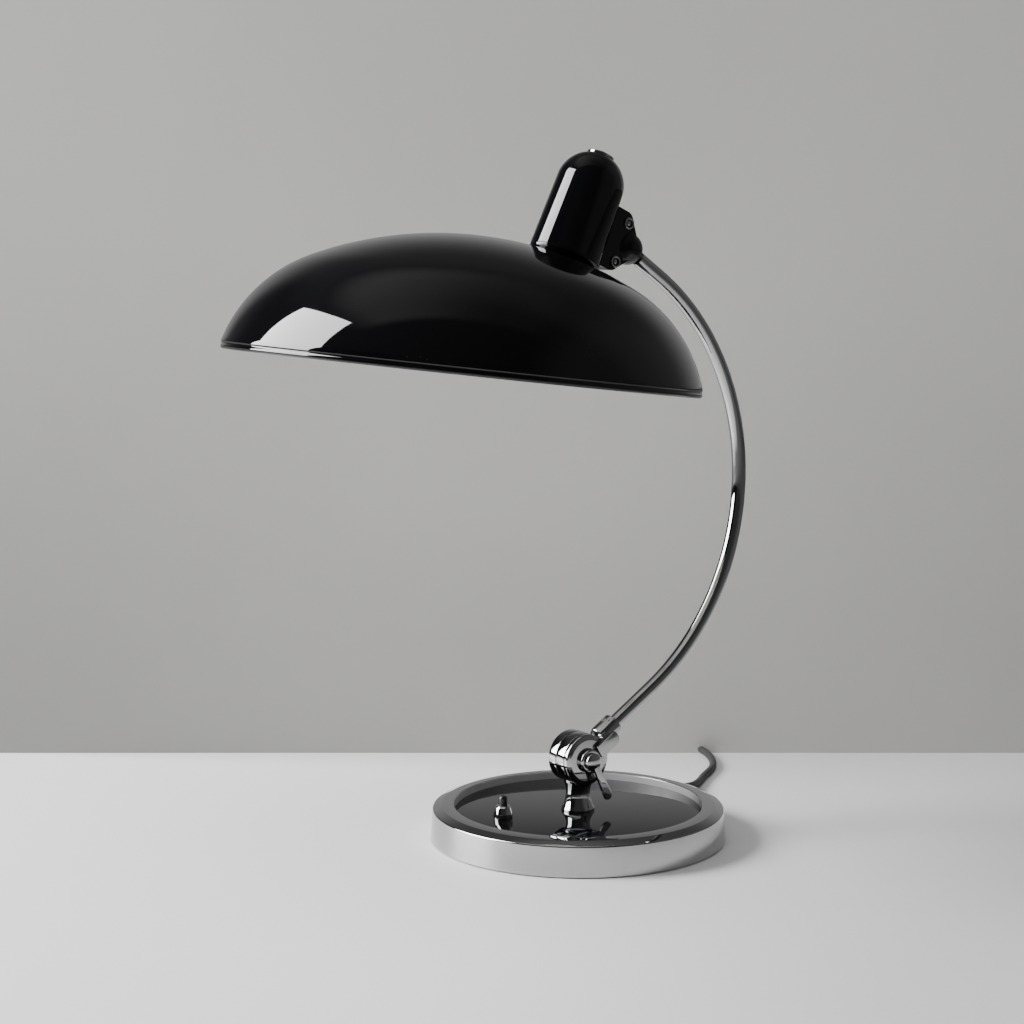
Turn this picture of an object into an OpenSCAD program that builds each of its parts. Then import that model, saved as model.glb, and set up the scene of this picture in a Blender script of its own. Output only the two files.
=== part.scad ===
// Desk lamp: a round weighted base, a clamped tilting arm of bent tube, and a wide
// domed shade that hangs from a ball joint beside its bullet-shaped holder housing.
// Millimetres. Origin at the centre of the underside, +Z up, the arm bends in the XZ
// plane: its bow is at +X, the shade reaches towards -X, the clamp lever is at -Y.

/* [Base] */
// Diameter of the base at the table
base_d = 186; // [160:1:240]
// How much narrower the base is at its top edge
wall_draft = 3; // [1:0.5:8]
// Height of the outer wall of the base
base_h = 19.4; // [17:0.1:26]
// Width of the ring's top band, from its outer edge to its inner lip
band_w = 13.6; // [10:0.2:20]
// Slope of the band's outer part
band_slope = 22; // [12:1:30]
// Width of the band's flatter inner part
flat_w = 8; // [4:0.5:9]
// How far the flatter part rises to the lip
lip_rise = 0.5; // [0.2:0.1:1.5]
// Depth of the dark disc below the lip
disc_drop = 4.5; // [1.5:0.1:5]
// Thickness of the dark disc
disc_t = 2; // [1:0.1:3]
// Wall of the ring
ring_wall = 2.2; // [1.5:0.1:3]
// Width of the ledge that carries the disc
ledge_w = 4; // [2:0.5:6]
// Thickness of the bottom cover
cover_t = 1.2; // [0.8:0.1:2]
// Thickness of the felt pad
pad_t = 1; // [0.8:0.1:2]
// Gap between the ring's foot and the table
foot_gap = 0.6; // [0.3:0.1:0.8]
// Number of screws in the bottom cover
cover_screw_count = 3; // [3:1:6]
// How far the cover screws stand in from the edge of the cover
cover_screw_inset = 19; // [14:1:26]

/* [Pedestal] */
// Height of the tilt axis above the table
hub_z = 50.8; // [46:0.1:80]
// Diameter of the clamp drum
drum_d = 32.6; // [26:0.1:36]
// How far the drum reaches behind the arm plane
drum_back = 10; // [8:0.5:14]
// How far the fixed part of the drum reaches in front of the arm plane
drum_front = 6; // [5:0.5:8]
// Diameter of the pedestal's foot
foot_d = 21; // [17:0.5:26]
// Diameter of the pedestal's waist
waist_d = 15.4; // [13:0.2:16.6]
// Diameter of the hollow stud under the pedestal
stud_d = 10; // [8:0.5:12]
// Bore for the wires through the stud
stud_bore = 5; // [3:0.5:6]

/* [Clamp] */
// Diameter of the clamp bolt
bolt_d = 6; // [5:0.5:8]
// Thickness of the turning cap in front of the drum
cap_t = 4; // [3:0.5:6]
// Rounding of the cap's front edge
cap_round = 2.2; // [1:0.1:2.6]
// Thickness of the fibre washer between drum and cap
washer_t = 0.6; // [0.4:0.1:1]
// Diameter of the pressure washer on the cap
boss_d = 15.5; // [13:0.5:18]
// Height of the pressure washer
boss_t = 3.4; // [2.8:0.1:5]
// Diameter of the lever's hub
lever_hub_d = 11; // [10:0.5:14]
// Height of the lever's hub
lever_hub_t = 3.5; // [3:0.5:8]
// Reach of the lever from the tilt axis
lever_len = 28; // [20:0.5:30]
// Angle of the lever below the horizontal
lever_angle = 64; // [20:1:90]
// Width of the lug that joins the cap to the collar
lug_w = 8.6; // [7:0.2:10]
// Thickness of the lug in front of the cap
lug_t = 2.8; // [2:0.1:3.2]

/* [Arm] */
// Outer diameter of the arm tube
tube_d = 9; // [8:0.1:10]
// Wall of the arm tube
tube_wall = 1; // [0.8:0.1:1.2]
// Angle at which the arm leaves the clamp, above the horizontal
arm_rise = 32.5; // [20:0.1:50]
// Length from the tilt axis to the start of the bend
tail_len = 69; // [50:1:90]
// Radius of the bend
bend_r = 156.6; // [120:0.2:180]
// Angle through which the arm bends
bend_sweep = 113.1; // [90:0.1:130]
// Length from the end of the bend to the centre of the ball
top_len = 32; // [26:0.5:60]
// Outer diameter of the collar
collar_d = 14.4; // [12:0.1:16]
// Distance from the tilt axis to the near end of the collar
collar_start = 18.5; // [18:0.5:24]
// Length of the collar
collar_len = 15; // [12:0.5:24]
// Diameter of the lead inside the tube
flex_d = 4.6; // [3:0.1:5]

/* [Ball joint] */
// Diameter of the ball
ball_d = 13; // [12:0.1:13.4]
// Diameter of the ball's neck
ball_neck_d = 6; // [5:0.1:6.4]
// Bore through the ball for the wires
ball_bore = 3.2; // [2.5:0.1:4]
// Outer diameter of the cup around the ball
cup_d = 20; // [18.6:0.2:22]
// Distance from the head's axis to the centre of the ball
ball_reach = 42.5; // [40:0.5:50]
// Height of the ball above the shade's seat, along the head's axis
ball_rise = 28.3; // [26:0.1:32]
// Thickness of each joint half at its edges
plate_t = 6.5; // [5:0.5:9]
// Spacing of the two joint screws, up and down
screw_gap = 25.4; // [23:0.2:28]
// Distance of the joint screws from the head's axis
screw_reach = 32.6; // [31:0.2:34]
// Diameter of the joint screws
screw_d = 3; // [2.5:0.5:4]
// Diameter of the ring washers under the joint screws' heads
screw_ring_d = 7.4; // [6.5:0.1:8]

/* [Head] */
// Tilt of the head's axis from the vertical
head_tilt = 24.5; // [10:0.5:35]
// Outer diameter of the housing where it meets its collar
housing_d = 44.4; // [43:0.2:48]
// Outer diameter of the housing where its round top starts
housing_top_d = 41.8; // [40:0.2:43]
// Height of the round top's centre above the shade's seat
housing_h = 51.3; // [49:0.1:60]
// Height of the seam between housing and collar
seam_h = 5.3; // [4:0.1:8]
// Diameter of the collar where it sits on the shade
skirt_d = 37.6; // [36:0.2:42]
// Wall of the housing
housing_wall = 1.2; // [0.8:0.1:1.6]
// Diameter of the finial nut on top
finial_d = 17; // [13:0.2:18]
// Height of the finial nut above the housing's crown
finial_t = 1.4; // [1:0.1:4]

/* [Shade] */
// Outer diameter of the shade at its rim
shade_d = 285; // [270:1:320]
// Radius of the crown's curve
crown_r = 221.5; // [200:0.5:260]
// Distance from the shade's axis at which the crown turns into the shoulder
shoulder_at = 95.5; // [88:0.5:104]
// Slope at which the shoulder ends above the rim
shoulder_end = 73.7; // [60:0.1:80]
// Height above the rim's plane at which the shoulder ends
skirt_h = 4.6; // [3.6:0.1:12]
// Thickness of the shade's sheet
shade_wall = 1; // [0.7:0.1:1.4]
// Diameter of the rolled rim
bead_d = 3.6; // [2.6:0.1:5]
// Distance from the shade's axis to the head's axis at the crown
seat_at = 65; // [50:0.5:76]

/* [Bulb and holder] */
// Diameter of the bulb's glass
globe_d = 45; // [40:1:50]
// Length of the bulb below the holder
globe_len = 54; // [50:1:62]
// Diameter of the bulb's cap
bulb_cap_d = 26; // [24:0.2:26.2]
// Diameter of the holder's threaded end
holder_thread_d = 32.4; // [31:0.2:33]
// Diameter of the holder's body
holder_d = 36; // [34:0.5:38]
// Outer diameter of the shade ring
shade_ring_d = 42; // [38:0.5:46]

/* [Switch] */
// Distance of the switch from the centre of the base
switch_at = 52.3; // [46:0.5:56]
// Direction of the switch, turned from +X
switch_turn = 170; // [150:1:210]
// Diameter of the switch's collar at the disc
switch_d = 12; // [10:0.5:14]
// Diameter of the switch's collar at its top
switch_top_d = 9.6; // [8:0.2:11]
// Height of the switch's collar
switch_h = 8.7; // [6:0.1:12]
// Diameter of the button
button_d = 5.4; // [4:0.1:6.6]
// Height of the button above its collar
button_h = 6.4; // [4:0.1:8]
// Travel of the button
button_travel = 3; // [1:0.5:3.5]

/* [Cord] */
// Diameter of the cord
cord_d = 5; // [4:0.1:6]
// Direction in which the cord leaves the base, turned from +X
exit_turn = 17; // [10:1:25]
// Height of the cord's outlet
exit_z = 7; // [6:0.5:8]
// Length of the strain relief outside the base
relief_len = 24; // [20:1:30]

/* [Hidden] */
$fn = 96;
fine = 48;
cut = 0.5;          // how far a cutting shape runs past what it cuts
run_fit = 0.05;     // radial clearance of a shaft that turns in its bore
slip = 0.2;         // gap between fixed pieces that pass through each other
air = 0.4;          // gap between pieces that move past each other
bite = 0.02;        // how far shapes that are one piece run into each other
overlap_turn = 0.1; // the same, as an angle along a bent sheet

// Levels and radii of the base
top_r = base_d / 2 - wall_draft / 2;
ring_r = top_r - band_w;
flat_r = ring_r + flat_w;
edge_r = 1;         // rounding of the ring's outer edge
edge_at = [top_r - edge_r, base_h - edge_r];
slope_at = edge_at + edge_r * [sin(band_slope), cos(band_slope)];
flat_z = slope_at[1] + (slope_at[0] - flat_r) * tan(band_slope);
lip_z = flat_z + lip_rise;
disc_z = lip_z - disc_drop;
disc_low_z = disc_z - disc_t;
ledge_low_z = disc_low_z - 2;
cover_z = pad_t;
ballast_z = pad_t + cover_t + slip;
inner_r = top_r - ring_wall;
hollow_r = ring_r + ring_wall;
ballast_r = inner_r - slip;
lip_r = 0.7;        // rounding of the ring's inner lip
ledge_r = ring_r - ledge_w;
cover_screw_d = 4;
cover_screw_head = 8;
cover_screw_len = 8;
cover_screw_at = ballast_r - cover_screw_inset;
first_screw_turn = 67;
nut_across = 17;
stud_washer_t = 1.5;
nut_lift = 0.5;
nut_well_r = nut_across / 2 + 4;
spacer_r = nut_well_r + 1.5;

// Pedestal and clamp, in front of the arm plane
drum_r = drum_d / 2;
cap_back = drum_front + washer_t + run_fit;
cap_front = cap_back + cap_t;
boss_front = cap_front + boss_t;
hub_clear = 0.2;
lever_back = boss_front + hub_clear;
lever_front = lever_back + lever_hub_t;
groove_w = 0.7;
groove_deep = 0.5;
groove_at = 1.9;    // distance of the drum's groove behind the arm plane
nut_t = 5;
stud_len = disc_z - 4;
bolt_head_d = 11;
bolt_head_t = 3.5;
lever_end_t = 1.8;
collar_screw_d = 3;
collar_screw_at = collar_start + collar_len - 5;

// The arm's centreline in its own plane
tube_r = tube_d / 2;
tube_bore_r = tube_r - tube_wall;
tube_start = collar_start + 4;
ball_gap = 1.6;     // neck that shows between the cup and the tube's end
tube_end_len = top_len - cup_d / 2 - ball_gap;
function turned(v, a) = [v[0] * cos(a) - v[1] * sin(a), v[0] * sin(a) + v[1] * cos(a)];
bend_centre = turned([tail_len, bend_r], arm_rise);
end_turn = arm_rise + bend_sweep;
ball_in_plane = bend_centre + turned([top_len, -bend_r], end_turn);
ball_at = [ball_in_plane[0], 0, hub_z + ball_in_plane[1]];

// Ball joint
ball_r = ball_d / 2;
cup_r = cup_d / 2;
stud_in_tube = 12;
slot_sweep = 36;    // how far the ball's neck swings each way in the joint's slot
slot_r = ball_neck_d / 2 + air;
cup_turn = 110;     // keeps the halves' round seams away from the slot
screw_x = screw_reach - ball_reach;
joint_back = ball_reach - housing_d / 2 - 1;
ring_t = 1.2;
ring_w = 1.3;
pad_r = 6.4;        // rounding of the joint's plates about each screw
half_gap = 0.1;
rivet_d = 2;
rivet_head_t = 0.9;
rivet_y = 3.6;
rivet_z = 9;
rivet_end = housing_d / 2 + 3;
wire_hole_d = ball_bore + 2;

// Shade profile
function arc_drop(r, x) = r - sqrt(r * r - x * x);
rim_r = shade_d / 2;
bead_r = bead_d / 2;
shoulder_turn = asin(shoulder_at / crown_r);
shoulder_r = (rim_r - shoulder_at) / (sin(shoulder_end) - sin(shoulder_turn));
shoulder_centre = [rim_r - shoulder_r * sin(shoulder_end), skirt_h - shoulder_r * cos(shoulder_end)];
crown_centre_z = shoulder_centre[1] - (crown_r - shoulder_r) * cos(shoulder_turn);
crown_h = crown_centre_z + crown_r;
seat_turn = asin(seat_at / crown_r);
seat_z = crown_h - arc_drop(crown_r, seat_at);

// Holder and bulb, along the head's axis with the shade's seat at zero
shade_hole_r = holder_thread_d / 2 + slip;
skirt_r = skirt_d / 2;
skirt_low = -arc_drop(crown_r, shade_hole_r) + 0.05;
crown_z = housing_h + housing_top_d / 2;
holder_top = housing_h - 6;
holder_low = -9;
holder_floor = 25;  // where the holder's bulb bore ends
bulb_cap_low = -7;
bulb_cap_h = 23;
bulb_bore_r = bulb_cap_d / 2 + 1;
shell_t = 0.5;
stem_r = 5;
stem_bore_r = 3.4;

// Switch
switch_x = switch_at * cos(switch_turn);
switch_y = switch_at * sin(switch_turn);
thread_r = 4;
switch_box = [14, 18, 9];
pocket_gap = 3;
button_in = 8;      // how far the button's chamber goes below the disc's face
stem_len = 5;       // length of the button inside its collar, below the disc's face

// Cord: the route along the table, chosen by hand, from the strain relief's tip
exit_r = base_d / 2 + relief_len;
exit_at = [exit_r * cos(exit_turn), exit_r * sin(exit_turn)];
cord_r = cord_d / 2;
gland_d = 8;
channel_w = 22;
block_at = base_d / 2 - 39;
block_size = [22, 16, 8];
clamp_at = block_at + 17;
coil_at = exit_at + [77, 159];
coil_r = 30;        // middle of the turns
coil_layers = 4;
coil_w = 2 * cord_d;
coil_h = coil_layers * cord_d;
tie_turn = 200;
plug_from = exit_at + [64, 203.4];
plug_turn = 172;
plug_len = 36;
plug_w = 26;
plug_t = 13;
pin_len = 19;
pin_d = 4.8;
pin_gap = 18.6;

// Points of the cord, from where it leaves the strain relief
route_steps = [
    [0, 0, exit_z], [10, 3.4, 5.4], [21, 9.4, 3.6], [32, 17.2, 2.6], [43, 25.8, 2.5],
    [54, 33.4, 2.5], [65, 41.8, 2.5], [75, 52.8, 2.5], [83.4, 65.4, 2.5], [90, 78.8, 2.5],
    [94.6, 93.8, 2.5], [98.4, 109.8, 2.5], [102.8, 123.8, 2.5], [107.4, 136, 2.5],
    [111, 147.4, 2.5]
];
lead_steps = [
    [112, 159, 17.5], [111.9, 166, 17.5], [111.1, 172.5, 17.4], [108.6, 179, 17.2],
    [104.4, 184.8, 16.8], [100, 189, 16], [95, 192.2, 14.6], [84.6, 197.6, 11.2],
    [75.2, 201, 8.2], [68.6, 202.6, 6.8], [59, 204.1, 6.5]
];
function laid(steps) = [for (p = steps) [exit_at[0] + p[0], exit_at[1] + p[1], p[2]]];

// ---- placing -------------------------------------------------------------------

// Local +Z points out of the clamp's front, at the tilt axis
module at_hub() {
    translate([0, 0, hub_z]) rotate([90, 0, 0]) children();
}

// Local X runs out of the clamp along the arm's tail, local Y bends with the arm
module in_arm() {
    at_hub() rotate([0, 0, arm_rise]) children();
}

// Local +Z runs from the end of the tube to the centre of the ball, which is at zero
module at_ball() {
    translate(ball_at) rotate([0, 90 - end_turn, 0]) children();
}

// Local +Z is the head's axis, zero is the shade's seat, +X is the side of the ball
module in_head() {
    translate(ball_at) rotate([0, head_tilt, 0]) translate([-ball_reach, 0, -ball_rise]) children();
}

// Local +Z is the shade's axis, zero is the plane of its rim
module in_shade() {
    in_head() rotate([0, -seat_turn, 0]) translate([-seat_at, 0, -seat_z]) children();
}

module at_switch(z) {
    translate([switch_x, switch_y, z]) children();
}

// Local X points out of the base along the cord's outlet
module at_outlet(r, z) {
    rotate([0, 0, exit_turn]) translate([r, 0, z]) children();
}

// ---- shared shapes --------------------------------------------------------------

module ring(outer_r, inner_r, h) {
    difference() {
        cylinder(r = outer_r, h = h);
        translate([0, 0, -cut]) cylinder(r = inner_r, h = h + 2 * cut);
    }
}

// A band of sheet round c, between two angles measured from straight up
module arc_band(c, r, t, from, to) {
    far = 2 * r;
    mid = (from + to) / 2;
    translate(c) intersection() {
        difference() {
            circle(r = r);
            circle(r = r - t);
        }
        polygon([
            [0, 0], [far * sin(from), far * cos(from)],
            [far * sin(mid), far * cos(mid)], [far * sin(to), far * cos(to)]
        ]);
    }
}

module hex_nut(across, bore_r, h) {
    difference() {
        cylinder(d = across / cos(30), h = h, $fn = 6);
        translate([0, 0, -cut]) cylinder(r = bore_r, h = h + 2 * cut);
    }
}

// A screw whose head stands on z = 0 and whose shank goes down
module slotted_screw(d, head_d, head_t, len) {
    difference() {
        union() {
            cylinder(d = head_d, h = head_t, $fn = fine);
            translate([0, 0, -len]) cylinder(d = d, h = len, $fn = fine);
        }
        translate([-head_d, -head_t / 4, head_t / 2]) cube([2 * head_d, head_t / 2, head_t]);
    }
}

// A tube swept along a list of points, with flat ends
function unit(v) = v / norm(v);
function heading(p, i) = unit(p[min(i + 1, len(p) - 1)] - p[max(i - 1, 0)]);
function side_of(t) = unit(cross([0, 0, 1], t));
function ring_points(p, i, r, n) =
    let (t = heading(p, i), s = side_of(t), u = cross(t, s))
    [for (k = [0 : n - 1]) p[i] + r * cos(360 * k / n) * s + r * sin(360 * k / n) * u];

module swept_cord(p, r, n) {
    m = len(p);
    corner = [for (i = [0 : m - 1]) each ring_points(p, i, r, n)];
    sides = [for (i = [0 : m - 2]) for (k = [0 : n - 1])
        [i * n + k, (i + 1) * n + k, (i + 1) * n + (k + 1) % n, i * n + (k + 1) % n]];
    near_end = [for (k = [0 : n - 1]) k];
    far_end = [for (k = [n - 1 : -1 : 0]) (m - 1) * n + k];
    polyhedron(corner, concat(sides, [near_end, far_end]), convexity = 4);
}

// ---- base -----------------------------------------------------------------------

module ring_profile() {
    polygon([
        [base_d / 2, foot_gap], [top_r, edge_at[1]], edge_at, slope_at, [flat_r, flat_z],
        [ring_r + lip_r, lip_z], [ring_r, lip_z - lip_r], [ring_r, disc_low_z],
        [ledge_r, disc_low_z], [ledge_r, ledge_low_z], [hollow_r, ledge_low_z],
        [hollow_r, base_h - ring_wall], [inner_r, base_h - ring_wall], [inner_r, foot_gap]
    ]);
    translate(edge_at) circle(r = edge_r, $fn = fine);
    translate([ring_r + lip_r, lip_z - lip_r]) circle(r = lip_r, $fn = fine);
}

module base_rim() {
    color("gainsboro") difference() {
        rotate_extrude() ring_profile();
        at_outlet(inner_r - ring_wall, exit_z) rotate([0, 90, 0])
            cylinder(d = gland_d, h = 3 * ring_wall + wall_draft);
    }
}

module base_disc() {
    color([0.03, 0.03, 0.035]) difference() {
        translate([0, 0, disc_low_z]) ring(ring_r - slip, stud_d / 2 + slip, disc_t);
        at_switch(disc_low_z - cut) cylinder(r = thread_r + slip, h = disc_t + 2 * cut);
    }
}

module base_ballast() {
    top = ledge_low_z - slip;
    h = top - ballast_z;
    low = ballast_z - cut;
    groove = 8;
    pocket = [switch_box[0] + 2 * pocket_gap, switch_box[1] + 2 * pocket_gap];
    color("dimgray") difference() {
        translate([0, 0, ballast_z]) ring(ballast_r, stud_d / 2 + slip, h);
        translate([0, 0, low]) cylinder(r = nut_well_r, h = nut_t + stud_washer_t + cut + nut_lift);
        at_switch(low) rotate([0, 0, switch_turn])
            translate([-pocket[0] / 2, -pocket[1] / 2, 0]) cube([pocket[0], pocket[1], h + 2 * cut]);
        at_outlet(block_at - channel_w, low)
            translate([0, -channel_w / 2, 0]) cube([ballast_r, channel_w, h + 2 * cut]);
        rotate([0, 0, switch_turn]) translate([0, -groove / 2, low]) cube([switch_at, groove, nut_t]);
        at_outlet(0, low) translate([0, -groove / 2, 0]) cube([block_at, groove, nut_t]);
        cover_screw_places() translate([0, 0, low])
            cylinder(d = cover_screw_d, h = cover_screw_len + 2, $fn = fine);
    }
}

module cover_screw_places() {
    for (k = [0 : cover_screw_count - 1])
        rotate([0, 0, first_screw_turn + 360 * k / cover_screw_count])
            translate([cover_screw_at, 0, 0]) children();
}

module disc_spacer() {
    h = disc_low_z - ledge_low_z + slip;
    color("silver") translate([0, 0, ledge_low_z - slip]) ring(spacer_r, stud_d / 2 + slip, h);
}

module base_cover() {
    color("gray") difference() {
        translate([0, 0, cover_z]) cylinder(r = inner_r - slip, h = cover_t);
        cover_screw_places() translate([0, 0, cover_z - cut])
            cylinder(d = cover_screw_d + slip, h = cover_t + 2 * cut, $fn = fine);
    }
}

module base_pad() {
    color("darkgreen") difference() {
        cylinder(r = inner_r - 1, h = pad_t);
        cover_screw_places() translate([0, 0, -cut])
            cylinder(d = cover_screw_head + 1, h = pad_t + 2 * cut, $fn = fine);
    }
}

module cover_screws() {
    head_t = pad_t - 0.3;
    color("silver") cover_screw_places()
        translate([0, 0, cover_z]) rotate([180, 0, 0])
            slotted_screw(cover_screw_d - slip, cover_screw_head, head_t, cover_screw_len);
}

// ---- pedestal and clamp ---------------------------------------------------------

module pedestal_profile() {
    low = disc_z;
    foot_r = foot_d / 2;
    foot_z = low + 1.6;
    waist_r = waist_d / 2;
    waist_z = hub_z - drum_r - 6;
    deep = foot_r - waist_r;
    high = waist_z - foot_z;
    curve_r = (deep * deep + high * high) / (2 * deep);
    upper_r = drum_back - 0.6;
    top = hub_z - drum_r / 2;
    difference() {
        polygon([
            [0, low - stud_len], [stud_d / 2, low - stud_len], [stud_d / 2, low], [foot_r, low],
            [foot_r, waist_z], [upper_r, waist_z], [upper_r, top], [0, top]
        ]);
        translate([waist_r + curve_r, waist_z]) circle(r = curve_r);
    }
}

module pedestal() {
    drum_t = drum_back + drum_front;
    bore_top = hub_z - drum_r + 4;
    low = disc_z - stud_len - cut;
    color("gainsboro") difference() {
        union() {
            rotate_extrude() pedestal_profile();
            at_hub() translate([0, 0, -drum_back]) cylinder(r = drum_r, h = drum_t);
        }
        at_hub() translate([0, 0, -groove_at - groove_w / 2])
            ring(drum_r + cut, drum_r - groove_deep, groove_w);
        at_hub() translate([0, 0, drum_front]) cylinder(r = drum_r + air, h = foot_d);
        at_hub() translate([0, 0, -drum_back - cut]) cylinder(d = bolt_d + slip, h = drum_t + 2 * cut);
        at_hub() translate([0, 0, -drum_back - cut]) cylinder(d = bolt_head_d + slip, h = bolt_head_t + cut);
        translate([0, 0, low]) cylinder(d = stud_bore, h = bore_top - low);
    }
}

module stud_washer() {
    color("silver") translate([0, 0, ballast_z + nut_t + nut_lift])
        ring(nut_across / 2 + 2.5, stud_d / 2 + slip, stud_washer_t);
}

module stud_nut() {
    color("goldenrod") translate([0, 0, ballast_z + nut_lift]) hex_nut(nut_across, stud_d / 2 + slip, nut_t);
}

module clamp_bolt() {
    sunk = 0.4;
    slot_w = 1.2;
    len = lever_front - lever_end_t - slip + drum_back - sunk;
    color("silver") at_hub() translate([0, 0, sunk - drum_back]) difference() {
        union() {
            cylinder(d = bolt_head_d, h = bolt_head_t - sunk);
            cylinder(d = bolt_d, h = len);
        }
        translate([-bolt_head_d, -slot_w / 2, -cut]) cube([2 * bolt_head_d, slot_w, cut + 1]);
    }
}

// The turning cap of the drum, its lug and the collar that grips the tube
module arm_cap() {
    lug_start = boss_d / 2 + 0.5;
    lug_end = collar_start + 7;
    nip = 3;            // the lug's corner cuts
    color("gainsboro") in_arm() difference() {
        union() {
            rotate_extrude() union() {
                translate([0, cap_back]) square([drum_r, cap_t - cap_round]);
                translate([0, cap_back]) square([drum_r - cap_round, cap_t]);
                intersection() {
                    translate([drum_r - cap_round, cap_front - cap_round]) circle(r = cap_round, $fn = fine);
                    translate([drum_r - cap_round, cap_back]) square([cap_round + cut, cap_t + cut]);
                }
            }
            translate([0, -lug_w / 2, cap_front - 0.5]) linear_extrude(lug_t + 0.5) polygon([
                [lug_start + nip / 2, 0], [lug_end - nip, 0], [lug_end, nip],
                [lug_end, lug_w - nip], [lug_end - nip, lug_w],
                [lug_start, lug_w], [lug_start, nip / 2]
            ]);
            translate([drum_r + air, -lug_w / 2, 0])
                cube([lug_end - nip - drum_r - air, lug_w, cap_front]);
            translate([collar_start, 0, 0]) rotate([0, 90, 0]) cylinder(d = collar_d, h = collar_len);
        }
        translate([0, 0, cap_back - cut]) cylinder(d = bolt_d + 2 * run_fit, h = cap_t + lug_t + 3 * cut);
        translate([0, 0, -drum_back - cut])
            cylinder(r = drum_r + air, h = drum_back + cap_back + cut - bite);
        translate([tube_start, 0, 0]) rotate([0, 90, 0]) cylinder(r = tube_r, h = collar_len);
        translate([drum_r - cut, 0, 0]) rotate([0, 90, 0]) cylinder(r = tube_bore_r, h = collar_len);
        translate([collar_screw_at, 0, 0]) rotate([-90, 0, 0])
            cylinder(d = collar_screw_d, h = collar_d, $fn = fine);
    }
}

module hub_washer() {
    color([0.12, 0.1, 0.09]) at_hub() translate([0, 0, drum_front + run_fit])
        ring(drum_r - 2, bolt_d / 2 + slip, washer_t);
}

module pressure_washer() {
    slope = 1.2;
    color("gainsboro") at_hub() translate([0, 0, cap_front]) difference() {
        union() {
            cylinder(d = boss_d, h = boss_t - slope);
            translate([0, 0, boss_t - slope]) cylinder(d1 = boss_d, d2 = boss_d - 2 * slope, h = slope);
        }
        translate([0, 0, -cut]) cylinder(d = bolt_d + 2 * run_fit, h = boss_t + 2 * cut);
    }
}

module clamp_lever() {
    hub_r = lever_hub_d / 2;
    root_x = hub_r - 2;
    blade_t = 2;
    blade_z = lever_back + 0.8;
    root_w = 4.2;
    tip_w = 6.6;
    dome_h = 1.4;
    dome_r = (hub_r * hub_r + dome_h * dome_h) / (2 * dome_h);
    reach = lever_len - tip_w / 2;
    color("gainsboro") at_hub() rotate([0, 0, -lever_angle]) difference() {
        union() {
            rotate_extrude() intersection() {
                translate([0, lever_back]) square([hub_r, lever_hub_t]);
                translate([0, lever_front - dome_r]) circle(r = dome_r);
            }
            translate([0, 0, blade_z]) linear_extrude(blade_t) polygon([
                [root_x, -root_w / 2], [reach, -tip_w / 2], [reach, tip_w / 2], [root_x, root_w / 2]
            ]);
            translate([reach, 0, blade_z]) cylinder(d = tip_w, h = blade_t);
        }
        translate([0, 0, lever_back - cut])
            cylinder(d = bolt_d + 2 * run_fit, h = lever_hub_t - lever_end_t + cut);
    }
}

module collar_screw() {
    len = collar_d / 2 - tube_r + 0.1;
    slot_w = 0.6;
    color("silver") in_arm() translate([collar_screw_at, tube_r, 0]) rotate([-90, 0, 0]) difference() {
        cylinder(d = collar_screw_d - 2 * run_fit, h = len, $fn = fine);
        translate([-collar_screw_d, -slot_w / 2, len - 0.8]) cube([2 * collar_screw_d, slot_w, 2]);
    }
}

// ---- arm ------------------------------------------------------------------------

// A round bar along the arm's centreline, from the tail's start to an end length
module arm_bar(r, start, end_len) {
    in_arm() {
        translate([start, 0, 0]) rotate([0, 90, 0]) cylinder(r = r, h = tail_len - start);
        translate([tail_len, bend_r, 0]) rotate([0, 0, -90])
            rotate_extrude(angle = bend_sweep, $fn = 4 * fine)
                translate([bend_r, 0]) circle(r = r, $fn = fine);
        translate([tail_len, bend_r, 0]) rotate([0, 0, bend_sweep]) translate([0, -bend_r, 0])
            rotate([0, 90, 0]) cylinder(r = r, h = end_len);
    }
}

module arm_tube() {
    color("silver") difference() {
        arm_bar(tube_r, tube_start, tube_end_len);
        arm_bar(tube_bore_r, tube_start - cut, tube_end_len + cut);
    }
}

module arm_lead() {
    color("black") arm_bar(flex_d / 2, tube_start + 1, tube_end_len - stud_in_tube - 1);
}

module arm_bush() {
    color("darkgoldenrod") at_ball() translate([0, 0, -cup_r - ball_gap - stud_in_tube])
        ring(tube_bore_r, ball_neck_d / 2 + run_fit, stud_in_tube);
}

module ball_stud() {
    reach = cup_r + ball_gap + stud_in_tube - 0.5;
    color("silver") at_ball() difference() {
        union() {
            sphere(r = ball_r);
            translate([0, 0, -reach]) cylinder(d = ball_neck_d, h = reach);
            translate([0, 0, -cup_r - ball_gap + run_fit]) cylinder(r = tube_r, h = 0.8);
        }
        translate([0, 0, -reach - cut]) cylinder(d = ball_bore, h = reach + ball_r + 2 * cut);
    }
}

// ---- ball joint -----------------------------------------------------------------

// Outline of the joint's plates, seen along the screws
module joint_outline() {
    half = screw_gap / 2;
    nose = 0.7 * ball_r;
    for (s = [-1, 1]) translate([screw_x, s * half]) circle(r = pad_r, $fn = fine);
    polygon([
        [-joint_back, -half - pad_r], [screw_x, -half - pad_r], [nose / 2, -nose], [nose / 2, nose],
        [screw_x, half + pad_r], [-joint_back, half + pad_r]
    ]);
}

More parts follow.
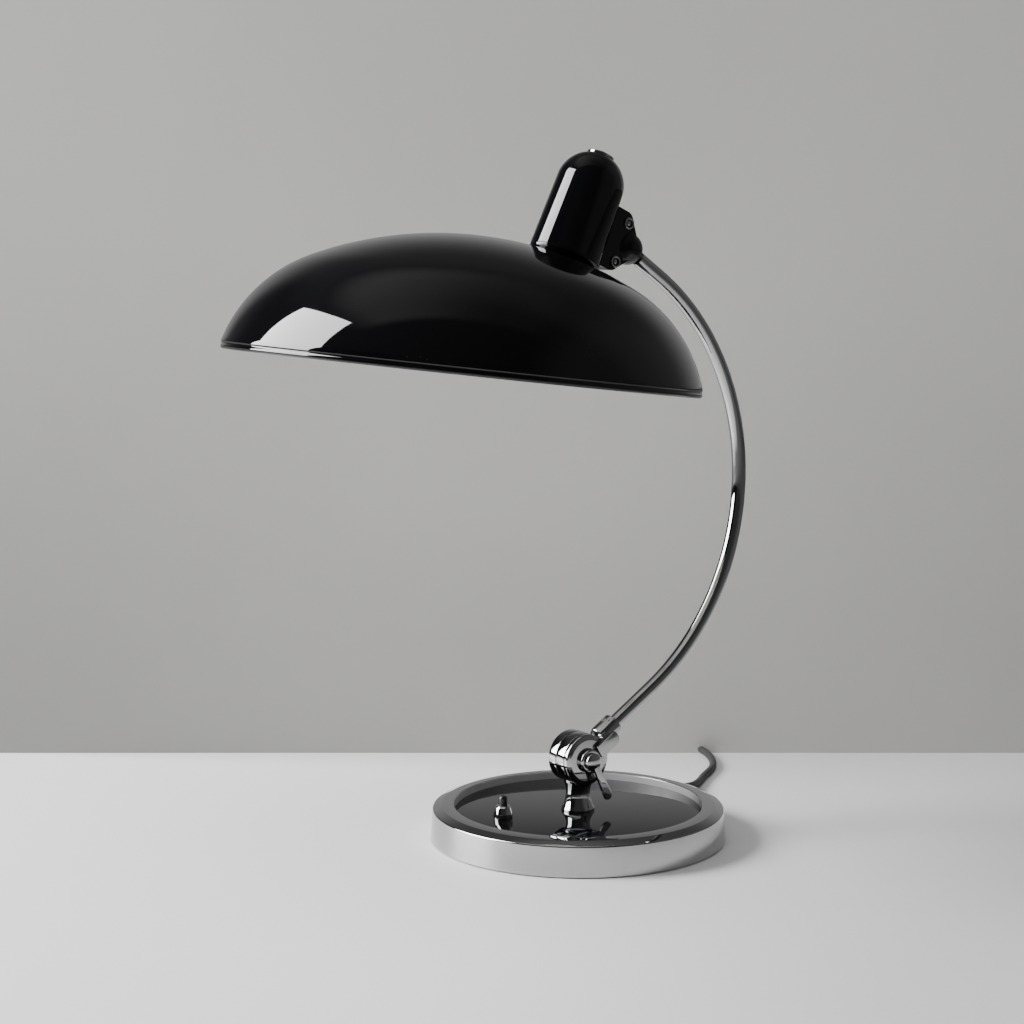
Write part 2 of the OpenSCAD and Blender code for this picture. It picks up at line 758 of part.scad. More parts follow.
// One half of the clamp round the ball; turn is 0 for the front half, 180 for the rear
module joint_half(turn) {
    translate(ball_at) rotate([0, head_tilt, 0]) difference() {
        rotate([90, 0, 0]) rotate([turn, 0, 0]) {
            translate([0, 0, half_gap]) linear_extrude(plate_t - half_gap) joint_outline();
            rotate([0, 0, cup_turn]) rotate_extrude() intersection() {
                circle(r = cup_r);
                translate([0, half_gap]) square(cup_d);
            }
        }
        translate([-ball_reach, 0, -2 * screw_gap]) cylinder(r = housing_d / 2 + 0.1, h = 4 * screw_gap);
        rotate([90, 0, 0]) rotate([0, 0, cup_turn]) sphere(r = ball_r + run_fit);
        rotate([90, 0, 0]) translate([0, 0, -slot_r]) linear_extrude(2 * slot_r) slot_outline();
        for (s = [-1, 1]) translate([screw_x, 2 * plate_t, s * screw_gap / 2])
            rotate([90, 0, 0]) cylinder(d = screw_d + slip, h = 4 * plate_t, $fn = fine);
        for (z = [-1, 1]) for (y = [-1, 1]) translate([-ball_reach, y * rivet_y, z * rivet_z])
            rotate([0, 90, 0]) cylinder(d = rivet_d + slip, h = rivet_end + slip, $fn = fine);
        translate([-ball_reach, 0, 0]) rotate([0, 90, 0]) cylinder(d = wire_hole_d, h = ball_reach);
    }
}

// The slot through which the ball's neck swings
module slot_outline() {
    far = 2 * cup_r;
    reach = turned([far, slot_r], slot_sweep);
    polygon([[0, -slot_r], [reach[0], -reach[1]], [2 * far, 0], reach, [0, slot_r]]);
}

module joint_front() {
    color([0.03, 0.03, 0.035]) joint_half(0);
}

module joint_rear() {
    color([0.03, 0.03, 0.035]) joint_half(180);
}

module joint_screw_places() {
    translate(ball_at) rotate([0, head_tilt, 0])
        for (s = [-1, 1]) translate([screw_x, 0, s * screw_gap / 2]) rotate([90, 0, 0]) children();
}

module joint_screws() {
    hole_r = screw_ring_d / 2 - ring_w;
    color("silver") joint_screw_places() translate([0, 0, plate_t]) {
        ring(screw_ring_d / 2, hole_r, ring_t);
        slotted_screw(screw_d, 2 * (hole_r - slip), 0.8, 2 * plate_t + 2.5);
    }
}

module joint_nuts() {
    across = 5.5;
    h = 2.2;
    color("silver") joint_screw_places() translate([0, 0, -plate_t - h])
        hex_nut(across, screw_d / 2 + run_fit, h);
}

// Rivets that hold the joint's halves to the housing
module joint_rivets() {
    start = housing_top_d / 2 - housing_wall - 2 * rivet_head_t;
    color("silver") in_head() for (z = [-1, 1]) for (y = [-1, 1])
        translate([start, y * rivet_y, ball_rise + z * rivet_z]) rotate([0, 90, 0]) {
            cylinder(d = 2 * rivet_d, h = rivet_head_t, $fn = fine);
            cylinder(d = rivet_d, h = rivet_end - start, $fn = fine);
        }
}

// ---- head -----------------------------------------------------------------------

module housing_body(shrink) {
    top_r = housing_top_d / 2 - shrink;
    rotate_extrude() intersection() {
        union() {
            translate([0, housing_h]) circle(r = top_r);
            polygon([[0, seam_h], [housing_d / 2 - shrink, seam_h], [top_r, housing_h], [0, housing_h]]);
        }
        square([housing_d, 3 * housing_h]);
    }
}

module head_housing() {
    color([0.03, 0.03, 0.035]) in_head() difference() {
        housing_body(0);
        translate([0, 0, -bite]) housing_body(housing_wall);
        translate([0, 0, housing_h]) cylinder(r = stem_r + slip, h = housing_h);
        translate([0, 0, ball_rise]) rotate([0, 90, 0]) cylinder(d = wire_hole_d, h = housing_d);
        for (z = [-1, 1]) for (y = [-1, 1])
            translate([0, y * rivet_y, ball_rise + z * rivet_z]) rotate([0, 90, 0])
                cylinder(d = rivet_d + slip, h = housing_d, $fn = fine);
    }
}

module head_collar() {
    r = housing_d / 2;
    seam = 0.15;
    rib_r = r - housing_wall - slip;
    rib_w = 1.2;
    groove_from = shade_hole_r + rib_w;
    color([0.03, 0.03, 0.035]) in_head() rotate_extrude() difference() {
        union() {
            polygon([
                [shade_hole_r, skirt_low], [skirt_r - 0.6, skirt_low], [skirt_r, skirt_low + 0.6],
                [r - 0.5, seam_h - 1.4], [r, seam_h - 0.5],
                [r, seam_h - seam], [shade_hole_r, seam_h - seam]
            ]);
            translate([rib_r - rib_w, seam_h - slip]) square([rib_w, 3]);
        }
        translate([groove_from, seam_h - 1.6]) square([rib_r - rib_w - groove_from, 2]);
    }
}

module finial_nut() {
    r = finial_d / 2;
    top = crown_z + finial_t;
    seat = housing_top_d / 2 + bite;
    edge_z = housing_h + sqrt(seat * seat - r * r) + 1.4;
    color("silver") in_head() rotate_extrude() difference() {
        polygon([[0, edge_z - r / 2], [r, edge_z - r / 2], [r, edge_z], [0.4 * r, top], [0, top]]);
        translate([0, housing_h]) circle(r = seat);
        square([stem_r + run_fit, top - 1.2]);
    }
}

module holder_stem() {
    low = holder_top + slip;
    color("goldenrod") in_head() translate([0, 0, low])
        ring(stem_r, stem_bore_r, crown_z + finial_t - 1.4 - low);
}

module lamp_holder() {
    body_low = seam_h + 2.4;
    slope = 3;
    color("ivory") in_head() difference() {
        union() {
            translate([0, 0, body_low]) cylinder(d = holder_d, h = holder_top - body_low - slope);
            translate([0, 0, holder_top - slope])
                cylinder(d1 = holder_d, d2 = holder_d - 4 * slope, h = slope);
            translate([0, 0, holder_low]) cylinder(d = holder_thread_d, h = body_low - holder_low);
        }
        translate([0, 0, holder_low - cut])
            cylinder(r = bulb_bore_r + shell_t + 0.1, h = holder_floor + 1 - holder_low + cut);
        translate([0, 0, holder_floor]) cylinder(r = stem_bore_r, h = holder_top);
        for (y = [-1, 1]) translate([0, y * 9, holder_floor]) cylinder(r = 1.6, h = holder_top, $fn = fine);
    }
}

module holder_shell() {
    color("gold") in_head() translate([0, 0, -6]) ring(bulb_bore_r + shell_t, bulb_bore_r, 26);
}

module holder_contact() {
    color("gold") in_head() {
        translate([-6, -2, holder_floor - 0.4]) cube([12, 4, 0.7]);
        translate([0, 0, holder_floor - 1.6]) cylinder(r = 2.2, h = 1.3, $fn = fine);
    }
}

module bulb_cap() {
    r = bulb_cap_d / 2;
    slope = 5.5;
    color("silver") in_head() translate([0, 0, bulb_cap_low]) difference() {
        union() {
            cylinder(r = r, h = bulb_cap_h);
            translate([0, 0, bulb_cap_h]) cylinder(r1 = r, r2 = 5, h = slope);
            translate([0, 0, bulb_cap_h + slope]) cylinder(r = 4.5, h = 1.6);
        }
        translate([0, 0, -cut]) cylinder(r = r - 0.6, h = bulb_cap_h);
    }
}

module bulb_glass() {
    r = globe_d / 2;
    neck_r = bulb_cap_d / 2 - 0.6 - slip;
    glass_t = 0.8;
    globe_z = r - globe_len;
    meet = neck_r + 2;
    meet_z = globe_z + sqrt(r * r - meet * meet);
    color([0.95, 0.94, 0.9]) in_head() difference() {
        union() {
            translate([0, 0, globe_z]) sphere(r = r);
            translate([0, 0, meet_z]) cylinder(r1 = meet, r2 = neck_r, h = bulb_cap_low - meet_z);
            translate([0, 0, bulb_cap_low - bite]) cylinder(r = neck_r, h = 6);
        }
        translate([0, 0, globe_z]) sphere(r = r - glass_t);
        translate([0, 0, meet_z - 2])
            cylinder(r1 = meet - glass_t, r2 = neck_r - glass_t, h = bulb_cap_low - meet_z + 2);
        translate([0, 0, bulb_cap_low - cut]) cylinder(r = neck_r - glass_t, h = 5);
    }
}

// ---- shade ----------------------------------------------------------------------

module shade_profile() {
    arc_band([0, crown_centre_z], crown_r, shade_wall, 0, shoulder_turn);
    arc_band(shoulder_centre, shoulder_r, shade_wall, shoulder_turn - overlap_turn, shoulder_end);
    translate([rim_r - shade_wall, bead_r]) square([shade_wall, skirt_h - bead_r + 0.05]);
    translate([rim_r - bead_r, bead_r]) circle(r = bead_r, $fn = fine);
}

module shade() {
    color([0.03, 0.03, 0.035]) difference() {
        in_shade() rotate_extrude($fn = 3 * fine) shade_profile();
        in_head() translate([0, 0, -10]) cylinder(r = shade_hole_r, h = 20);
    }
}

module shade_ring() {
    r = shade_ring_d / 2;
    top = -shade_wall - arc_drop(crown_r, r) - 0.1;
    color("ivory") in_head() translate([0, 0, top - 5]) {
        ring(r, holder_thread_d / 2 + run_fit, 2.4);
        ring(r - 2, holder_thread_d / 2 + run_fit, 5);
    }
}

// ---- switch ---------------------------------------------------------------------

module switch_collar() {
    r = switch_d / 2;
    upper_r = switch_top_d / 2;
    half = 0.45 * switch_h;
    color("gainsboro") at_switch(disc_z) difference() {
        union() {
            cylinder(r = r, h = half);
            translate([0, 0, half]) cylinder(r1 = r, r2 = upper_r, h = half);
            translate([0, 0, 2 * half]) cylinder(r1 = upper_r, r2 = upper_r - 0.8, h = switch_h - 2 * half);
        }
        translate([0, 0, -cut]) cylinder(r = button_d / 2 + run_fit, h = switch_h + 2 * cut);
        translate([0, 0, -cut]) cylinder(r = thread_r + slip, h = 3 + cut);
    }
}

module switch_body() {
    box = switch_box;
    top = disc_low_z - slip;
    color([0.08, 0.08, 0.09]) difference() {
        union() {
            at_switch(top - box[2]) rotate([0, 0, switch_turn])
                translate([-box[0] / 2, -box[1] / 2, 0]) cube(box);
            at_switch(top - cut) cylinder(r = thread_r, h = disc_t + slip + cut + 2.5);
        }
        at_switch(disc_z - button_in) cylinder(r = button_d / 2 + run_fit, h = button_in + 10);
    }
}

module switch_button() {
    r = button_d / 2;
    low = disc_z - stem_len + button_travel;
    top = disc_z + switch_h + button_h;
    color("black") at_switch(low) {
        cylinder(r = r, h = top - r - low);
        translate([0, 0, top - r - low]) sphere(r = r);
    }
}

// A coil spring drawn as its sleeve
module switch_spring() {
    low = disc_z - button_in;
    color("silver") at_switch(low)
        ring(button_d / 2 - 0.3, button_d / 2 - 0.8, button_in - stem_len + button_travel);
}

// ---- wiring and cord ------------------------------------------------------------

module terminal_block() {
    size = block_size;
    color("ivory") at_outlet(block_at, ballast_z) difference() {
        translate([-size[0] / 2, -size[1] / 2, 0]) cube(size);
        for (y = [-1, 1]) translate([-size[0], y * size[1] / 4, size[2] / 2]) rotate([0, 90, 0])
            cylinder(d = 3, h = 2 * size[0], $fn = fine);
        block_screw_places() translate([0, 0, size[2] / 2]) cylinder(d = 2.8, h = size[2], $fn = fine);
    }
}

module block_screw_places() {
    for (x = [-1, 1]) for (y = [-1, 1])
        translate([x * block_size[0] / 4, y * block_size[1] / 4, 0]) children();
}

module terminal_screws() {
    color("gold") at_outlet(block_at, ballast_z) block_screw_places()
        translate([0, 0, block_size[2] - 2.4]) difference() {
            cylinder(d = 2.6, h = 2, $fn = fine);
            translate([-2, -0.25, 1.4]) cube([4, 0.5, 1]);
        }
}

module cord_clamp() {
    w = 5;
    foot = 18;
    r = cord_r + 1.2;
    rise = exit_z - ballast_z;
    color("silver") at_outlet(clamp_at - w / 2, ballast_z) difference() {
        union() {
            translate([0, -foot / 2, 0]) cube([w, foot, 1]);
            translate([0, 0, rise]) rotate([0, 90, 0]) cylinder(r = r, h = w);
            translate([0, -r, 0]) cube([w, 2 * r, rise]);
        }
        translate([-cut, 0, rise]) rotate([0, 90, 0]) cylinder(r = cord_r + 0.1, h = w + 2 * cut);
    }
}

module cord_gland() {
    r = gland_d / 2;
    flange_t = 1.6;
    flange_at = base_d / 2 + slip;
    inside = inner_r - 3.4;
    tip_r = cord_r + 0.9;
    color([0.05, 0.05, 0.05]) at_outlet(0, exit_z) rotate([0, 90, 0]) difference() {
        union() {
            translate([0, 0, inside]) cylinder(r = r + 0.6, h = 2.6);
            translate([0, 0, inside]) cylinder(r = r - 0.1, h = flange_at - inside);
            translate([0, 0, flange_at]) cylinder(r = r + 1, h = flange_t);
            translate([0, 0, flange_at + flange_t])
                cylinder(r1 = r + 0.6, r2 = tip_r, h = relief_len - flange_t - slip);
        }
        translate([0, 0, inside - cut]) cylinder(r = cord_r, h = exit_r - inside + 2 * cut);
    }
}

module mains_cord() {
    start = block_at + 12;
    color([0.1, 0.1, 0.11]) {
        at_outlet(start, exit_z) rotate([0, 90, 0]) cylinder(r = cord_r, h = exit_r - start, $fn = 24);
        swept_cord(laid(route_steps), cord_r, 10);
    }
}

module cord_coil() {
    a = coil_r - coil_w / 2;
    b = coil_r + coil_w / 2;
    color([0.1, 0.1, 0.11]) translate(coil_at) rotate_extrude() polygon([
        [a, 1], [a + 1, 0], [b - 1, 0], [b, 1],
        [b, coil_h - 1], [b - 1, coil_h], [a + 1, coil_h], [a, coil_h - 1]
    ]);
}

module coil_tie() {
    w = coil_w + 2;
    hole = coil_w + slip;
    color([0.15, 0.15, 0.15]) translate(coil_at) rotate([0, 0, tie_turn])
        translate([coil_r, 0, 0]) difference() {
            translate([-w / 2, -2, 0]) cube([w, 4, coil_h + 1]);
            translate([-hole / 2, -3, -cut]) cube([hole, 6, coil_h + cut + slip]);
        }
}

module plug_lead() {
    color([0.1, 0.1, 0.11]) swept_cord(laid(lead_steps), cord_r, 10);
}

module at_plug() {
    translate(plug_from) rotate([0, 0, plug_turn]) children();
}

module plug_body() {
    r = plug_t / 2;
    w = plug_w / 2;
    nose = 12;          // the round sleeve in front of the flat grip
    root = 5;
    color([0.08, 0.08, 0.08]) at_plug() difference() {
        union() {
            linear_extrude(plug_t) polygon([
                [nose, -root], [nose + 6, 2 - w], [nose + 9, -w], [plug_len, -w],
                [plug_len, w], [nose + 9, w], [nose + 6, w - 2], [nose, root]
            ]);
            translate([air, 0, r]) rotate([0, 90, 0]) cylinder(r1 = cord_r + 0.8, r2 = root, h = nose);
        }
        translate([-cut, 0, r]) rotate([0, 90, 0]) cylinder(r = cord_r + 0.1, h = nose - 2);
    }
}

module plug_pins() {
    color("silver") at_plug() for (y = [-1, 1])
        translate([plug_len + 0.05, y * pin_gap / 2, plug_t / 2]) rotate([0, 90, 0]) {
            cylinder(d = pin_d, h = pin_len - pin_d / 2, $fn = fine);
            translate([0, 0, pin_len - pin_d / 2]) sphere(d = pin_d, $fn = fine);
        }
}

base_rim();
base_disc();
base_ballast();
disc_spacer();
base_cover();
base_pad();
cover_screws();
pedestal();
stud_washer();
stud_nut();
clamp_bolt();
switch_collar();
switch_body();
switch_spring();
switch_button();
terminal_block();
terminal_screws();
cord_clamp();
cord_gland();
mains_cord();
cord_coil();
coil_tie();
plug_lead();
plug_body();
plug_pins();
arm_cap();
hub_washer();
pressure_washer();
clamp_lever();
collar_screw();
arm_tube();
arm_lead();
arm_bush();
ball_stud();
joint_front();
joint_rear();
joint_screws();
joint_nuts();
joint_rivets();
head_housing();
head_collar();
finial_nut();
holder_stem();
lamp_holder();
holder_shell();
holder_contact();
bulb_cap();
bulb_glass();
shade_ring();
shade();
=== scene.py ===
# %% [markdown]
# # A desk lamp with a domed shade
#
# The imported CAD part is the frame: it says where everything is and how it moves. This file
# adds the looks. Each visible piece is built again with rounded edges and finer curves, rides
# on the body it belongs to and replaces its plain CAD node. Pieces that hide inside stay as
# they are and only get a material.
#
# The steps: tools, camera, materials, cord and plug, base, clamp, arm, ball joint, head,
# shade, bulb, then the plain studio round it.

# %% Load the frame
import math

import bmesh
import bpy
from mathutils import Matrix, Vector


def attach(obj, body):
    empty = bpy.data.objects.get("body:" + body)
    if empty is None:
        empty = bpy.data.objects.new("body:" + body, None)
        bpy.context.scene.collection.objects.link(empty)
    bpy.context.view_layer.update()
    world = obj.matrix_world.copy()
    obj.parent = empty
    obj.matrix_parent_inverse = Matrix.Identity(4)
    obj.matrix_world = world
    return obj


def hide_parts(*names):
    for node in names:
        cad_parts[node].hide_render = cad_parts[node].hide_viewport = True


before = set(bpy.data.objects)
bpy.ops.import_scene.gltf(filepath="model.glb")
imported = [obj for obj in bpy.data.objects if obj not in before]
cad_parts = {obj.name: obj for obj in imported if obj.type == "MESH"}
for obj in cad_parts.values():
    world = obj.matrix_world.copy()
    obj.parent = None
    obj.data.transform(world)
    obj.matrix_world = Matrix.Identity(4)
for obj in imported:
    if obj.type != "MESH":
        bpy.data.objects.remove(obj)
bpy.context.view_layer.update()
print("CAD nodes:", len(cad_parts))

# %% [markdown]
# ## Sizes
# All sizes are in millimetres in the lamp's own frame: the origin is under the middle of the
# base, +Z is up, the arm bends in the XZ plane. They are the sizes of the CAD part.

# %% Sizes
DISC_UNDER, DISC_Z, RING_IN = 15.34, 17.34, 77.9
HUB_Z, DRUM_R = 50.8, 16.3
BOLT_BORE, CAP_BACK, CAP_FRONT = 3.05, 6.65, 10.65
BOSS_FRONT, LEVER_BACK, LEVER_FRONT = 14.05, 14.25, 17.75
TUBE_R, TUBE_START, TAIL, TOP = 4.5, 22.5, 69.0, 32.0
RISE, BEND_R, SWEEP = 32.5, 156.6, 113.1
CUP_R, BALL_R = 10.0, 6.5
BALL_REACH, BALL_RISE, HEAD_TILT = 42.5, 28.3, 24.5
HOUSING_R, HOUSING_TOP_R, HOUSING_H, HOUSING_WALL, SEAM = 22.2, 20.9, 51.3, 1.2, 5.3
SHADE_R, CROWN_R, SHOULDER_AT, SHOULDER_END = 142.5, 221.5, 95.5, 73.7
SKIRT_H, SEAT_AT, SHADE_WALL = 4.6, 65.0, 1
CORD_R, EXIT_TURN, EXIT_Z, EXIT_R = 2.5, 17.0, 7.0, 117.0


def turned(x, y, degrees):
    a = math.radians(degrees)
    return x * math.cos(a) - y * math.sin(a), x * math.sin(a) + y * math.cos(a)


def move(x, y, z):
    return Matrix.Translation((x, y, z))


def turn(axis, degrees):
    return Matrix.Rotation(math.radians(degrees), 4, axis)


# %% [markdown]
# ## Places
# Each group of pieces has a frame of its own, a matrix. A piece is drawn round the Z axis of
# that frame, where its shape is simple, and is put in place as its last step.

# %% Places
bend_x, bend_z = turned(TAIL, BEND_R, RISE)
end_x, end_z = turned(TOP, -BEND_R, RISE + SWEEP)
BALL = Vector((bend_x + end_x, 0, HUB_Z + bend_z + end_z))

# The shade: a flat crown that runs into a rounder shoulder, both arcs.
shoulder_sin, end_sin = SHOULDER_AT / CROWN_R, math.sin(math.radians(SHOULDER_END))
SHOULDER_START = math.degrees(math.asin(shoulder_sin))
SHOULDER_R = (SHADE_R - SHOULDER_AT) / (end_sin - shoulder_sin)
SHOULDER_X = SHADE_R - SHOULDER_R * end_sin
SHOULDER_Z = SKIRT_H - SHOULDER_R * math.cos(math.radians(SHOULDER_END))
CROWN_Z = SHOULDER_Z - (CROWN_R - SHOULDER_R) * math.sqrt(1 - shoulder_sin**2)
SEAT_TURN = math.degrees(math.asin(SEAT_AT / CROWN_R))
SEAT_Z = CROWN_Z + math.sqrt(CROWN_R**2 - SEAT_AT**2)

HERE = Matrix.Identity(4)
HUB = move(0, 0, HUB_Z) @ turn("X", 90)
ARM = HUB @ turn("Z", RISE)
STUD = move(*BALL) @ turn("Y", 90 - RISE - SWEEP)
HEAD = move(*BALL) @ turn("Y", HEAD_TILT) @ move(-BALL_REACH, 0, -BALL_RISE)
SHADE = HEAD @ turn("Y", -SEAT_TURN) @ move(-SEAT_AT, 0, -SEAT_Z)
print("ball at", [round(v, 2) for v in BALL], "crown", round(CROWN_Z + CROWN_R, 2))

# %% [markdown]
# ## Drawing tools
# Nearly every piece of a lamp is turned, cut from flat stock or bent from tube, so three tools
# make them: `lathe` spins a profile round the local Z axis, `slab` gives an outline thickness,
# `sweep` runs a round tube along points. `rounded` and `arc` draw the profiles. Drawing the
# roundings into a profile gives finer control than a Bevel modifier.


# %% Outlines
def rounded(corners, closed=True, steps=6):
    """Points are (x, y) or (x, y, radius); a corner with a radius becomes an arc."""
    out, n = [], len(corners)
    for i, corner in enumerate(corners):
        p = Vector(corner[:2])
        r = corner[2] if len(corner) > 2 else 0
        if not r or (not closed and i in (0, n - 1)):
            out.append(tuple(p))
            continue
        a = (Vector(corners[i - 1][:2]) - p).normalized()
        b = (Vector(corners[(i + 1) % n][:2]) - p).normalized()
        half = a.angle(b) / 2
        back = r / math.tan(half)
        centre = p + (a + b).normalized() * (r / math.sin(half))
        start, end = p + a * back - centre, p + b * back - centre
        (x, y), swing = start, start.angle_signed(end)
        for k in range(steps + 1):
            c, s = math.cos(-swing * k / steps), math.sin(-swing * k / steps)
            out.append((centre[0] + x * c - y * s, centre[1] + x * s + y * c))
    return out


def arc(cx, cy, r, start, end, steps):
    """Points on a circle from one angle to another, in degrees."""
    angles = [math.radians(start + (end - start) * k / steps) for k in range(steps + 1)]
    return [(cx + r * math.cos(a), cy + r * math.sin(a)) for a in angles]


# %% [markdown]
# A spin leaves many points on one spot where the profile touches the axis, so they are merged.
# An edge that lies on the axis would sweep no face and is left out.

# %% Turned pieces
ON_AXIS, WELD = 1e-6, 1e-4


def lathe(profile, sides=96, closed=True):
    """A profile of (radius, height) points turned round Z."""
    bm = bmesh.new()
    points = [bm.verts.new((r, 0, z)) for r, z in profile]
    pairs = zip(points, points[1:] + points[:1] if closed else points[1:])
    edges = [bm.edges.new(pair) for pair in pairs if max(v.co.x for v in pair) > ON_AXIS]
    bmesh.ops.spin(
        bm, geom=points + edges, cent=(0, 0, 0), axis=(0, 0, 1),
        angle=2 * math.pi, steps=sides, use_merge=True,
    )
    bmesh.ops.remove_doubles(bm, verts=bm.verts, dist=WELD)
    return bm


# %% Flat pieces
def slab(outline, low, high, bevel, steps):
    """An outline in XY given thickness along Z, with a bevel on its top and bottom edges."""
    bm = bmesh.new()
    bottom = [bm.verts.new((x, y, low)) for x, y in outline]
    top = [bm.verts.new((x, y, high)) for x, y in outline]
    faces = [bm.faces.new(bottom[::-1]), bm.faces.new(top)]
    n = len(outline)
    for k in range(n):
        bm.faces.new((bottom[k], bottom[(k + 1) % n], top[(k + 1) % n], top[k]))
    edges = [e for f in faces for e in f.edges]
    bmesh.ops.bevel(
        bm, geom=edges, offset=bevel, segments=steps, profile=0.5, affect="EDGES", material=-1,
    )
    return bm


# %% [markdown]
# A tube along a bent line could be a curve with a bevel. Rings of points are laid here
# instead, because the UV map then holds the exact length along the line, which the woven
# cover of the cord needs.


# %% Tubes
def sweep(points, radius, sides=24):
    """A round tube along points. Its UV map holds turns round it and metres along it."""
    bm = bmesh.new()
    uv = bm.loops.layers.uv.new("along")
    points = [Vector(p) for p in points]
    n = len(points)
    headings = [(points[min(i + 1, n - 1)] - points[max(i - 1, 0)]).normalized() for i in range(n)]
    side = headings[0].orthogonal().normalized()
    angles = [2 * math.pi * k / sides for k in range(sides)]
    rings, lengths, run = [], [], 0.0
    for i, (p, heading) in enumerate(zip(points, headings)):
        side = (side - heading * side.dot(heading)).normalized()
        out, up = side * radius, heading.cross(side) * radius
        rings.append([bm.verts.new(p + out * math.cos(a) + up * math.sin(a)) for a in angles])
        run += (p - points[i - 1]).length if i else 0
        lengths.append(run / 1000)
    for i in range(n - 1):
        for k in range(sides):
            j = (k + 1) % sides
            face = bm.faces.new((rings[i][k], rings[i][j], rings[i + 1][j], rings[i + 1][k]))
            for loop, (u, v) in zip(face.loops, ((k, i), (k + 1, i), (k + 1, i + 1), (k, i + 1))):
                loop[uv].uv = (u / sides, lengths[v])
    bm.faces.new(rings[0][::-1])
    bm.faces.new(rings[-1])
    return bm


# %% [markdown]
# `joined` puts several meshes into one. `show` turns the result into an object: millimetres
# become metres, the place goes into the mesh, and the piece rides on its CAD body.


# %% From mesh to object
def joined(*parts):
    """Several meshes in one, each a bmesh or a (bmesh, matrix) pair."""
    out = bmesh.new()
    for part in parts:
        bm, where = part if isinstance(part, tuple) else (part, HERE)
        bm.transform(where)
        piece = bpy.data.meshes.new("piece")
        bm.to_mesh(piece)
        bm.free()
        out.from_mesh(piece)
        bpy.data.meshes.remove(piece)
    return out


def show(name, bm, where, body, material, nodes, sharp=32):
    """Makes the object, in metres, riding on its body and standing for its CAD nodes."""
    bm.transform(Matrix.Scale(0.001, 4) @ where)
    bmesh.ops.recalc_face_normals(bm, faces=bm.faces)
    title = "look_" + name.replace(" ", "_")
    mesh = bpy.data.meshes.new(title)
    bm.to_mesh(mesh)
    bm.free()
    mesh.shade_smooth()
    mesh.set_sharp_from_angle(angle=math.radians(sharp))
    piece = bpy.data.objects.new(title, mesh)
    bpy.context.scene.collection.objects.link(piece)
    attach(piece, body)
    mesh.materials.append(material)
    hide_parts(*nodes)
    print(f"{title}: {len(mesh.polygons)} faces, rides on {body}, {material.name}")
    return piece


# %% [markdown]
# ## Camera
# The lamp is seen from its front left, a little above the base, with a long lens. The same
# turn of the view also places the lights and the wall, so it is written once.

# %% Camera
VIEW_TURN, LOOK_DOWN = 36.0, 8.09
RIGHT_X, RIGHT_Y = 0.81, 0.59


def from_view(right, away, up):
    """A point given right of, behind and above the lamp's foot as the camera sees it."""
    x, y = turned(right, away, -VIEW_TURN)
    return Vector((x, y, up))


def seen_right(x, y):
    """How far right of the lamp's foot a place is, as the camera sees it."""
    return x * RIGHT_X - y * RIGHT_Y


camera = bpy.data.objects.new("camera", bpy.data.cameras.new("camera"))
bpy.context.scene.collection.objects.link(camera)
bpy.context.scene.camera = camera
camera.data.lens = 83.64
camera.data.sensor_width = 36.0
camera.data.clip_start, camera.data.clip_end = 0.05, 50.0
camera.location = from_view(-41.5, -1455.3, 413.0) / 1000
camera.rotation_euler = (math.radians(90 - LOOK_DOWN), 0, math.radians(-VIEW_TURN))
print("camera at", [round(v, 3) for v in camera.location])

# %% [markdown]
# ## Material tools
# `Wire` wraps one output of a shader, so shader maths reads as arithmetic, and its `node`
# method adds any other node. `Paint` starts a material: `place` gives positions in
# millimetres, `bump` takes a height in millimetres.


# %% Wires
def join(tree, value, socket):
    if isinstance(value, Wire):
        tree.links.new(value.socket, socket)
    else:
        socket.default_value = value


class Wire:
    """One output socket, with arithmetic."""

    def __init__(self, tree, socket):
        self.tree, self.socket = tree, socket

    def node(self, kind, output, settings=None, sockets=None, **named):
        """A new node: its type, the output to use, its settings, then what its sockets get."""
        node = self.tree.nodes.new(kind)
        for key, value in (settings or {}).items():
            setattr(node, key, value)
        for key, value in (sockets or {}).items():
            join(self.tree, value, node.inputs[key])
        for key, value in named.items():
            join(self.tree, value, node.inputs[key.replace("_", " ")])
        return Wire(self.tree, node.outputs[output])

    def maths(self, kind, *others):
        sockets = dict(enumerate((self, *others)))
        return self.node("ShaderNodeMath", 0, {"operation": kind}, sockets)

    def __add__(self, other):
        return self.maths("ADD", other)

    def __sub__(self, other):
        return self.maths("SUBTRACT", other)

    def __rsub__(self, other):
        return self.maths("MULTIPLY_ADD", -1.0, other)

    def __mul__(self, other):
        return self.maths("MULTIPLY", other)

    __radd__, __rmul__ = __add__, __mul__

    def between(self, low, high):
        """0 below low, 1 above high, smooth between."""
        smooth = {"interpolation_type": "SMOOTHSTEP"}
        return self.node("ShaderNodeMapRange", "Result", smooth, Value=self, From_Min=low, From_Max=high)


# %% Paint
MIX_FACTOR, MIX_A, MIX_B, MIX_COLOUR_OUT = 0, 6, 7, 2


def with_alpha(value):
    """A colour gets its fourth channel, anything else stays."""
    return (*value, 1) if isinstance(value, tuple) else value


